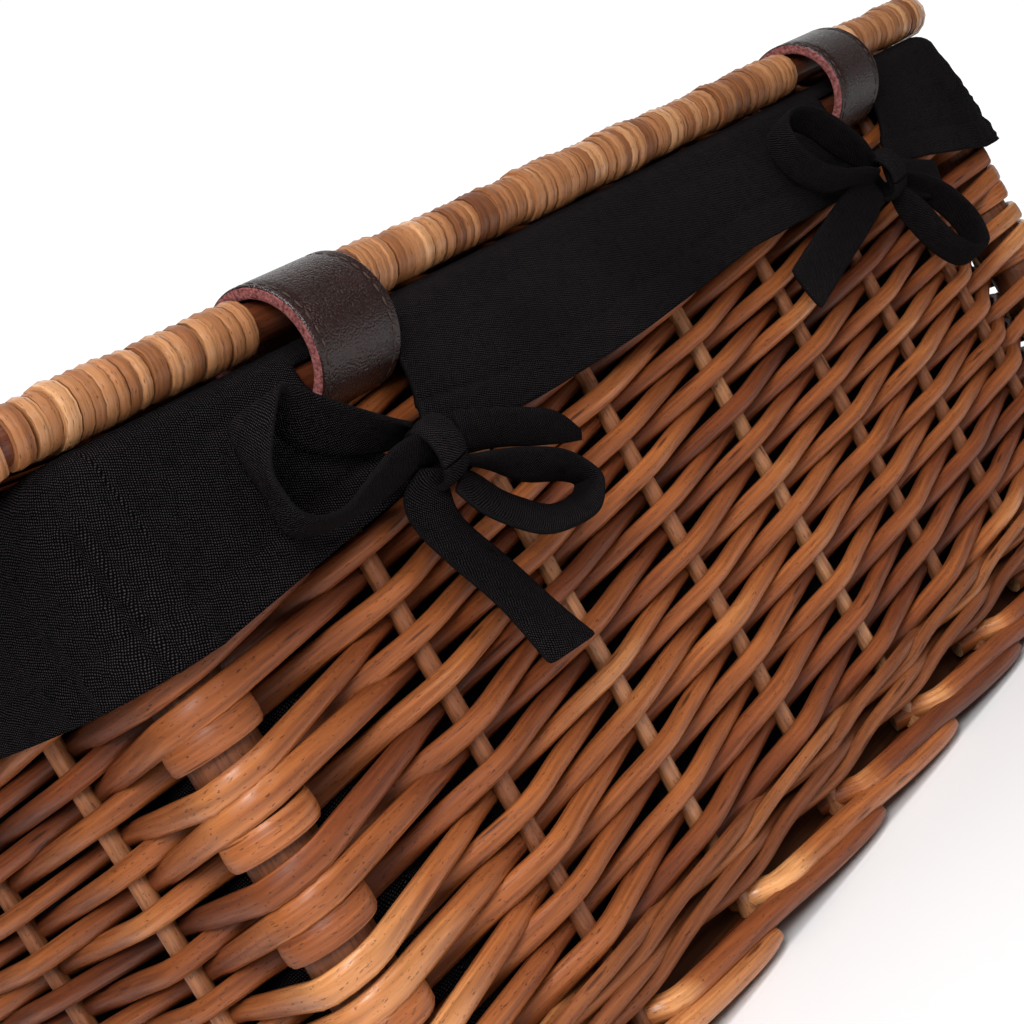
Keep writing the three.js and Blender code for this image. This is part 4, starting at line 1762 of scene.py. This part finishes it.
    def _profile(self, hem: np.ndarray) -> np.ndarray:
        """Gives the sheet's section, from the floor up, over the rim and down to the hem.

        Args:
            hem: Height of the hem at each station.

        Returns:
            For each station and each row, the distance out and the height.
        """
        rows = [(-self.inner, z) for z in np.linspace(self.floor, self.wall_top, self.inside_rows)]
        for turn in np.radians(np.linspace(172, 20, 12)):
            rows.append((self.rim_reach * math.cos(turn), self.rim + self.rim_reach * math.sin(turn)))
        for share in np.linspace(0.0, 1.0, self.skirt_rows):
            ease = self.skirt - (self.skirt - self.rim_reach) * math.exp(-5 * share)
            rows.append((ease, self.shoulder + (hem - self.shoulder) * share))
        return np.stack([np.column_stack(np.broadcast_arrays(*row, hem)[:2]) for row in rows], axis=1)

    def _hang(
        self, runs: np.ndarray, section: np.ndarray, slits: Sequence[Span]
    ) -> np.ndarray:
        """Lays the section round the walls and lets the skirt hang.

        Args:
            runs: Where the columns stand along the walls.
            section: The distance out and height of each row, for each column.
            slits: Where each slit starts and ends.

        Returns:
            The places, by column and row.
        """
        rows = section.shape[1]
        down = (np.arange(rows) - rows + self.skirt_rows) / (self.skirt_rows - 1)
        run, share = np.broadcast_arrays(runs[:, None], np.clip(down, 0, 1))
        out = section[..., 0] + self._sway(run, share)
        height = section[..., 1]
        over_hem = height - (height[:, -1:] + self.hem)
        hung = share > 0
        out = out + np.where((over_hem < 0) & hung, self.doubled, 0.0)
        out = out - self.stitched * (bell(over_hem, 1.3) * hung)
        for edge in (edge for slit in slits for edge in slit):
            out = out + self.curl * np.exp(-np.abs(run - edge) / 5.0) * share
        along, rise = self._pull(run, share, slits)
        places, _ = self.plan.place(run + along, out)
        return np.concatenate((places, (height + rise)[..., None]), axis=-1)

    def _sway(self, run: np.ndarray, share: np.ndarray) -> np.ndarray:
        """Finds how far the skirt's waves, folds and corner seams stand out.

        Args:
            run: Distances along the walls.
            share: Distances down the skirt, from 0 to 1.

        Returns:
            The distances out.
        """
        turn = 2 * math.pi * run / self.plan.length
        waves, folds = np.zeros_like(turn), np.zeros_like(turn)
        for size, count, start, change in self.waves:
            waves = waves + size * np.sin(count * turn + start + change * share)
        past = self._past_corner(run)
        for start, lean, width, depth in self.folds:
            folds = folds + depth * bell(past - start - lean * share, width)
        soft = np.clip(waves, -0.3, 1.0) * share + 1.3 * folds * share**0.7
        seam = 1.2 * bell(past - 0.5, 0.45) - 0.8 * bell(past + 0.4, 0.4)
        pucker = 0.26 * np.sin(50 * share + 2 * np.sin(13 * share)) * np.exp(-np.abs(past) / 2.2)
        return soft + (seam + pucker) * np.minimum(1.0, 6 * share)

    def _pull(
        self, run: np.ndarray, share: np.ndarray, slits: Sequence[Span]
    ) -> tuple[np.ndarray, np.ndarray]:
        """Draws the corners of the flaps together where they are tied.

        Args:
            run: Distances along the walls.
            share: Distances down the skirt, from 0 to 1.
            slits: Where each slit starts and ends.

        Returns:
            How far the cloth moves along the wall, and how far up.
        """
        along, rise = np.zeros_like(run), np.zeros_like(run)
        near_reach, past_reach = self.flap_reach
        for (start, end), (before, after) in zip(slits, self.pulls):
            near = np.where(run <= start + 1e-6, np.exp(-np.maximum(start - run, 0) / near_reach), 0.0)
            past = np.where(run >= end - 1e-6, np.exp(-np.maximum(run - end, 0) / past_reach), 0.0)
            along += (before * near - after * past) * share**1.5
            rise += self.flap_rise * past * share**2
        return along, rise

    @staticmethod
    def _cut(
        cloth: Cloth,
        verts: np.ndarray,
        runs: np.ndarray,
        spans: Sequence[Span],
        rows: Sequence[int],
    ) -> None:
        """Takes the cloth away where the leather loops pass.

        Args:
            cloth: The sheet.
            verts: Its vertices by column and row.
            runs: Where each column stands along the walls.
            spans: Where each cut starts and ends along the walls.
            rows: The rows that are cut.
        """
        gone = set()
        for start, end in spans:
            for column in np.flatnonzero((runs >= start - 1e-6) & (runs < end - 1e-6)):
                for row in rows:
                    here, opposite = verts[column, row], verts[column + 1, row + 1]
                    gone.update(set(here.link_faces) & set(opposite.link_faces))
        bmesh.ops.delete(cloth.bm, geom=list(gone), context="FACES")

    def _lay_floor(self, cloth: Cloth) -> None:
        """Closes the bag with its floor.

        Args:
            cloth: The sheet.
        """
        low = (self.floor + 0.01) * MM
        rim = [e for e in cloth.bm.edges if e.is_boundary and max(v.co.z for v in e.verts) < low]
        made = bmesh.ops.edgeloop_fill(cloth.bm, edges=rim)
        for face in made["faces"]:
            for loop in face.loops:
                loop[cloth.flat].uv = loop.vert.co.xy


# Bows


Row = tuple[tuple[float, float, float], tuple[float, float, float]]


@dataclass(frozen=True)
class Tape:
    """One stretch of a tie: the places of its two edges, as x, distance out and height."""

    rows: tuple[Row, ...]

    def length(self) -> float:
        """Gives the stretch's length along its middle."""
        return float(travelled(smooth_path(np.array(self.rows).mean(axis=1), 8))[-1])


@dataclass(frozen=True)
class Pointer:
    """A direction from a knot, for the pieces of tape that leave it.

    Attributes:
        x: The knot's place along the back wall.
        height: The knot's height.
        degrees: Where it points, from +X upwards.
    """

    x: float
    height: float
    degrees: float

    def at(self, ahead: float, aside: float) -> tuple[float, float]:
        """Finds a place from the knot.

        Args:
            ahead: Distance in the direction.
            aside: Distance square to it.

        Returns:
            The place along the wall, and its height.
        """
        along, up = math.cos(math.radians(self.degrees)), math.sin(math.radians(self.degrees))
        return self.x + ahead * along - aside * up, self.height + ahead * up + aside * along


def loop_tape(way: Pointer, length: float, opens: float, near: float, far: float) -> Tape:
    """Makes a loop of tape that stands on edge.

    Args:
        way: Where it points.
        length: How far it reaches.
        opens: How far it opens.
        near: Distance out of its edge by the wall.
        far: Distance out of its outer edge.

    Returns:
        The stretch of tape.
    """
    half, root, pinch = opens / 2, 4.0, 2.5
    outline = [
        (root, 1.5),
        (length * 0.3, half * 0.55),
        (length * 0.6, half * 0.95),
        (length * 0.86, half * 0.75),
        (length, 0),
        (length * 0.88, -half * 0.8),
        (length * 0.6, -half),
        (length * 0.3, -half * 0.55),
        (root, -1.5),
    ]
    rows = []
    for ahead, aside in outline:
        x, z = way.at(ahead, aside)
        tuck = pinch if ahead == root else 0.0
        rows.append(((x, near + tuck, z - 0.8), (x, far - tuck, z + 1.6)))
    return Tape(tuple(rows))


def tail_tape(way: Pointer, length: float, width: float, out: float) -> Tape:
    """Makes a tail that lies flat against the wall.

    Args:
        way: Where it points.
        length: How far it reaches.
        width: The tape's width.
        out: Its distance out.

    Returns:
        The stretch of tape.
    """
    rows = []
    for share in (0.05, 0.3, 0.6, 0.85, 1.0):
        spread = width / 2 * (0.7 + 0.3 * min(1.0, 3 * share))
        lift = out + 2.0 * (1 - share) - 0.6 * math.sin(share * math.pi)
        edges = (way.at(length * share, aside) for aside in (-spread, spread))
        rows.append(tuple((x, lift, z) for x, z in edges))
    return Tape(tuple(rows))


@dataclass
class Bow(SubAssembly):
    """A tie of folded cotton tape, in a bow.

    Attributes:
        side: The end of the basket that it is nearer to.
        tapes: Its loops and tails.
        knot: The knot's x, distance out and height.
        crown: How far the tape's middle stands over its edges.
        band: Half the width of the turn over the knot, its depth and its height.
    """

    side: Side
    tapes: tuple[Tape, ...]
    knot: tuple[float, float, float]
    width: float = 14.5
    thick: float = 1.5
    crown: float = 0.5
    band: tuple[float, float, float] = (4.4, 4.0, 6.0)

    def build(self) -> None:
        """Builds and dresses the bow."""
        cloth = Cloth()
        tapes = (*self.tapes, self._knot_band())
        to_back = (0.0, self.plan.middle_y + self.plan.half_y, 0.0)
        share = np.linspace(0, 1, 6)[None, :, None]
        along = 0.0
        for tape in tapes:
            rows = np.array(tape.rows)
            edges = smooth_path(rows.reshape(len(rows), 6), 7).reshape(-1, 2, 3)
            places = edges[:, :1] * (1 - share) + edges[:, 1:] * share + to_back
            ahead = np.gradient(places.mean(axis=1), axis=0)
            normal = unit(np.cross(ahead, edges[:, 1] - edges[:, 0]))
            places = places + np.sin(share * math.pi) * self.crown * normal[:, None]
            run = along + travelled(places.mean(axis=1))
            across = np.linspace(0, self.width, 6)
            cloth.patch(places, np.stack(np.broadcast_arrays(across, run[:, None]), axis=-1))
            along = run[-1] + 20.0
        length = sum(tape.length() for tape in tapes)
        piece = cloth.finish(f"cotton_bow_{self.side.value}", self.finishes, self.thick)
        settle(piece, Body.BASKET, "cloth", f"bow_{self.side.value}")

    def _knot_band(self) -> Tape:
        """Makes the turn of tape that crosses the knot.

        Returns:
            The stretch of tape.
        """
        x, out, z = self.knot
        half, depth, height = self.band
        rows = []
        for turn in np.radians(np.arange(-30, 331, 30)):
            lift, rise = out + depth * math.cos(turn), z + height * math.sin(turn)
            rows.append(((x - half, lift, rise + 0.6), (x + half, lift, rise - 0.6)))
        return Tape(tuple(rows))


def near_tapes() -> tuple[Tape, ...]:
    """Lists the loops and tails of the bow by the near corner.

    Returns:
        The big loop, the low loop, the hanging tail and the short one.
    """
    big_loop = Tape(
        (
            ((114.5, 12.5, 136.5), (120.4, 17.5, 138.5)),
            ((125.3, 11.9, 136.6), (129.1, 19.0, 144.2)),
            ((136.3, 11.7, 140.2), (138.4, 20.0, 150.8)),
            ((144.7, 11.6, 145.5), (145.3, 20.6, 156.1)),
            ((149.5, 11.6, 153.5), (148.0, 21.2, 157.0)),
            ((154.4, 11.6, 155.8), (151.0, 21.6, 155.1)),
            ((157.5, 11.7, 153.8), (156.4, 22.0, 150.3)),
            ((158.3, 12.0, 146.7), (161.7, 22.2, 144.6)),
            ((158.1, 12.4, 140.1), (162.6, 22.4, 140.2)),
            ((158.9, 12.8, 133.0), (161.5, 22.4, 135.6)),
            ((151.7, 13.0, 130.1), (157.4, 22.2, 132.5)),
            ((142.6, 13.0, 129.4), (150.3, 21.6, 131.7)),
            ((134.2, 13.0, 129.2), (141.8, 20.8, 133.9)),
            ((124.0, 13.0, 129.9), (130.5, 19.6, 136.7)),
            ((115.8, 13.4, 130.2), (120.3, 18.4, 136.9)),
        )
    )
    low_loop = Tape(
        (
            ((108.6, 12.5, 127.5), (112.7, 18.0, 127.6)),
            ((102.0, 11.9, 123.1), (106.3, 19.4, 125.8)),
            ((94.6, 11.7, 116.7), (97.4, 20.4, 122.8)),
            ((84.1, 11.7, 112.4), (87.8, 21.0, 117.7)),
            ((80.5, 11.7, 109.9), (82.5, 21.4, 110.3)),
            ((83.1, 11.7, 108.2), (84.3, 21.6, 106.4)),
            ((86.9, 11.7, 108.3), (89.3, 21.6, 103.4)),
            ((92.2, 11.8, 109.6), (98.5, 21.4, 103.7)),
            ((97.2, 12.0, 113.2), (106.4, 21.0, 105.7)),
            ((102.5, 12.2, 117.8), (112.6, 20.4, 110.2)),
            ((106.5, 12.6, 123.0), (118.0, 19.4, 116.6)),
            ((110.4, 13.2, 126.2), (120.0, 18.0, 123.2)),
        )
    )
    hanging = Tape(
        (
            ((122.7, 15.5, 130.6), (115.9, 16.0, 127.4)),
            ((128.9, 13.4, 127.3), (117.4, 14.2, 123.0)),
            ((130.0, 12.6, 120.9), (116.6, 12.9, 116.6)),
            ((126.2, 12.2, 110.9), (110.3, 12.4, 104.4)),
            ((120.4, 12.3, 98.0), (104.6, 12.6, 90.6)),
            ((117.0, 12.8, 82.5), (100.4, 13.2, 81.6)),
        )
    )
    short = Tape(
        (
            ((107.7, 13.0, 128.1), (107.8, 16.5, 137.3)),
            ((96.6, 12.2, 125.5), (96.3, 17.2, 133.2)),
            ((85.8, 12.0, 121.5), (86.3, 17.4, 129.1)),
            ((76.8, 12.0, 118.5), (79.2, 16.8, 125.4)),
            ((71.2, 12.0, 117.4), (73.4, 15.0, 119.7)),
        )
    )
    return big_loop, low_loop, hanging, short


def far_tapes() -> tuple[Tape, ...]:
    """Lists the loops and tails of the bow by the far corner.

    Returns:
        Two loops and two tails.
    """
    knot = (-98.0, 132.0)
    return (
        loop_tape(Pointer(*knot, 31), 46, 18, 11.3, 21.0),
        loop_tape(Pointer(*knot, 229), 44, 17, 11.3, 20.5),
        tail_tape(Pointer(*knot, 346), 62, 13.5, 12.8),
        tail_tape(Pointer(*knot, 197), 34, 13.0, 14.5),
    )


# Floor of the basket


def dress_base(finishes: Finishes) -> None:
    """Gives the CAD floor its woven finish.

    Args:
        finishes: The materials.
    """
    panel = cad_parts["base_panel"]
    panel.data.materials.clear()
    panel.data.materials.append(finishes.base)


# Studio


@dataclass(frozen=True)
class SoftBox:
    """A square studio light.

    Attributes:
        name: The light's name.
        place: Where it stands, in metres.
        size: Its width, in metres.
        power: Its power, in watts.
    """

    name: str
    place: tuple[float, float, float]
    size: float
    power: float

    def build(self, aim: Sequence[float]) -> None:
        """Adds the light to the scene.

        Args:
            aim: What it faces, in metres.
        """
        data = bpy.data.lights.new(self.name, "AREA")
        data.shape = "SQUARE"
        data.size = self.size
        data.energy = self.power
        made = bpy.data.objects.new(self.name, data)
        made.location = self.place
        made.rotation_euler = (Vector(aim) - Vector(self.place)).to_track_quat("-Z", "Y").to_euler()
        bpy.context.scene.collection.objects.link(made)


@dataclass
class Studio:
    """Floor, light and the camera at the photograph's angle.

    Attributes:
        focal_share: The camera's focal length in widths of its sensor.
        sensor: The sensor's width.
        eye: Where the camera stands.
        yaw: The way that it looks, in degrees from +Y towards +X.
        pitch: How far up it looks.
        roll: How far it is rolled.
        target: What the lights face, in metres.
        floor: The floor's radius, in metres.
        lights: The soft boxes.
    """

    focal_share: float = 1850.2 / 1024
    sensor: float = 36.0
    eye: tuple[float, float, float] = (382.5, 402.05, 137.2)
    yaw: float = -132.957
    pitch: float = -3.674
    roll: float = -30.599
    target: tuple[float, float, float] = (0.08, 0.10, 0.09)
    floor: float = 0.62
    lights: tuple[SoftBox, ...] = (
        SoftBox("soft_box_front", (0.62, 0.56, 0.46), 0.3, 4.6),
        SoftBox("soft_box_left", (0.95, 0.30, 0.35), 0.35, 0.8),
        SoftBox("soft_box_right", (-0.10, 0.98, 0.55), 0.35, 1.2),
        SoftBox("soft_box_top", (0.30, 0.42, 1.10), 0.5, 7.5),
    )

    def build(self) -> None:
        """Builds the studio."""
        self._camera()
        for light in self.lights:
            light.build(self.target)
        self._backdrop()
        self._floor()
        settings = bpy.context.scene.view_settings
        settings.view_transform = "Standard"
        settings.look = "None"

    def _camera(self) -> None:
        """Sets up the camera."""
        yaw, pitch, roll = (math.radians(a) for a in (self.yaw, self.pitch, self.roll))
        level = math.cos(pitch)
        ahead = Vector((math.sin(yaw) * level, math.cos(yaw) * level, math.sin(pitch)))
        side = ahead.cross(Vector(UP)).normalized()
        over = side.cross(ahead)
        right = math.cos(roll) * side + math.sin(roll) * over
        top = math.cos(roll) * over - math.sin(roll) * side
        data = bpy.data.cameras.new("camera")
        data.sensor_width = self.sensor
        data.lens = self.focal_share * self.sensor
        data.clip_start = 0.01
        made = bpy.data.objects.new("camera", data)
        turn = Matrix((right, top, -ahead)).transposed().to_4x4()
        made.matrix_world = Matrix.Translation(Vector(self.eye) * MM) @ turn
        bpy.context.scene.collection.objects.link(made)
        bpy.context.scene.camera = made

    def _backdrop(self) -> None:
        """Makes the surroundings dim, with a white backdrop behind the basket."""
        world = bpy.data.worlds.new("studio")
        world.use_nodes = True
        tree = world.node_tree
        facing = tree.nodes.new("ShaderNodeVectorMath")
        facing.operation = "DOT_PRODUCT"
        yaw = math.radians(self.yaw)
        facing.inputs[1].default_value = (math.sin(yaw), math.cos(yaw), 0.0)
        spread = tree.nodes.new("ShaderNodeMapRange")
        spread.interpolation_type = "SMOOTHSTEP"
        for name, value in (("From Min", 0.55), ("From Max", 0.85), ("To Min", 0.11), ("To Max", 1.1)):
            spread.inputs[name].default_value = value
        way = tree.nodes.new("ShaderNodeTexCoord")
        tree.links.new(way.outputs["Generated"], facing.inputs[0])
        tree.links.new(facing.outputs["Value"], spread.inputs["Value"])
        tree.links.new(spread.outputs[0], tree.nodes["Background"].inputs["Strength"])
        tree.nodes["Background"].inputs["Color"].default_value = (1.0, 1.0, 1.0, 1.0)
        bpy.context.scene.world = world

    def _floor(self) -> None:
        """Lays a pale round floor under the basket."""
        bm = bmesh.new()
        bmesh.ops.create_circle(bm, cap_ends=True, segments=96, radius=self.floor)
        bmesh.ops.translate(bm, verts=bm.verts[:], vec=(0, 0, -0.0002))
        graph = NodeGraph("pale_floor")
        specks = graph.noise(graph.place(), (6, 6, 6), 2.0)
        graph.paint(graph.ramp(specks, [(0.3, (0.86, 0.86, 0.87)), (0.7, (0.9, 0.9, 0.9))]))
        graph.shine(Roughness=0.7)
        mesh_object("floor", bm, (graph.material,))


def main() -> None:
    """Builds the basket's pieces in order and the studio round them."""
    logging.basicConfig(level=logging.INFO, format="%(name)s %(message)s")
    plan, finishes = BasketPlan(), Finishes()
    lid = Lid(plan, finishes)
    Studio().build()
    for part in (WallWeave, Uprights, Upsett, FootBorder, RimRod):
        part(plan, finishes).build()
    lid.build()
    Lining(plan, finishes, lid.hinges).build()
    for side in Side:
        HingeLoop(plan, finishes, side).build()
    Bow(plan, finishes, Side.RIGHT, near_tapes(), (117.5, 16.5, 131.5)).build()
    Bow(plan, finishes, Side.LEFT, far_tapes(), (-98.0, 16.5, 132.0)).build()
    dress_base(finishes)


if __name__ == "__main__":
    main()
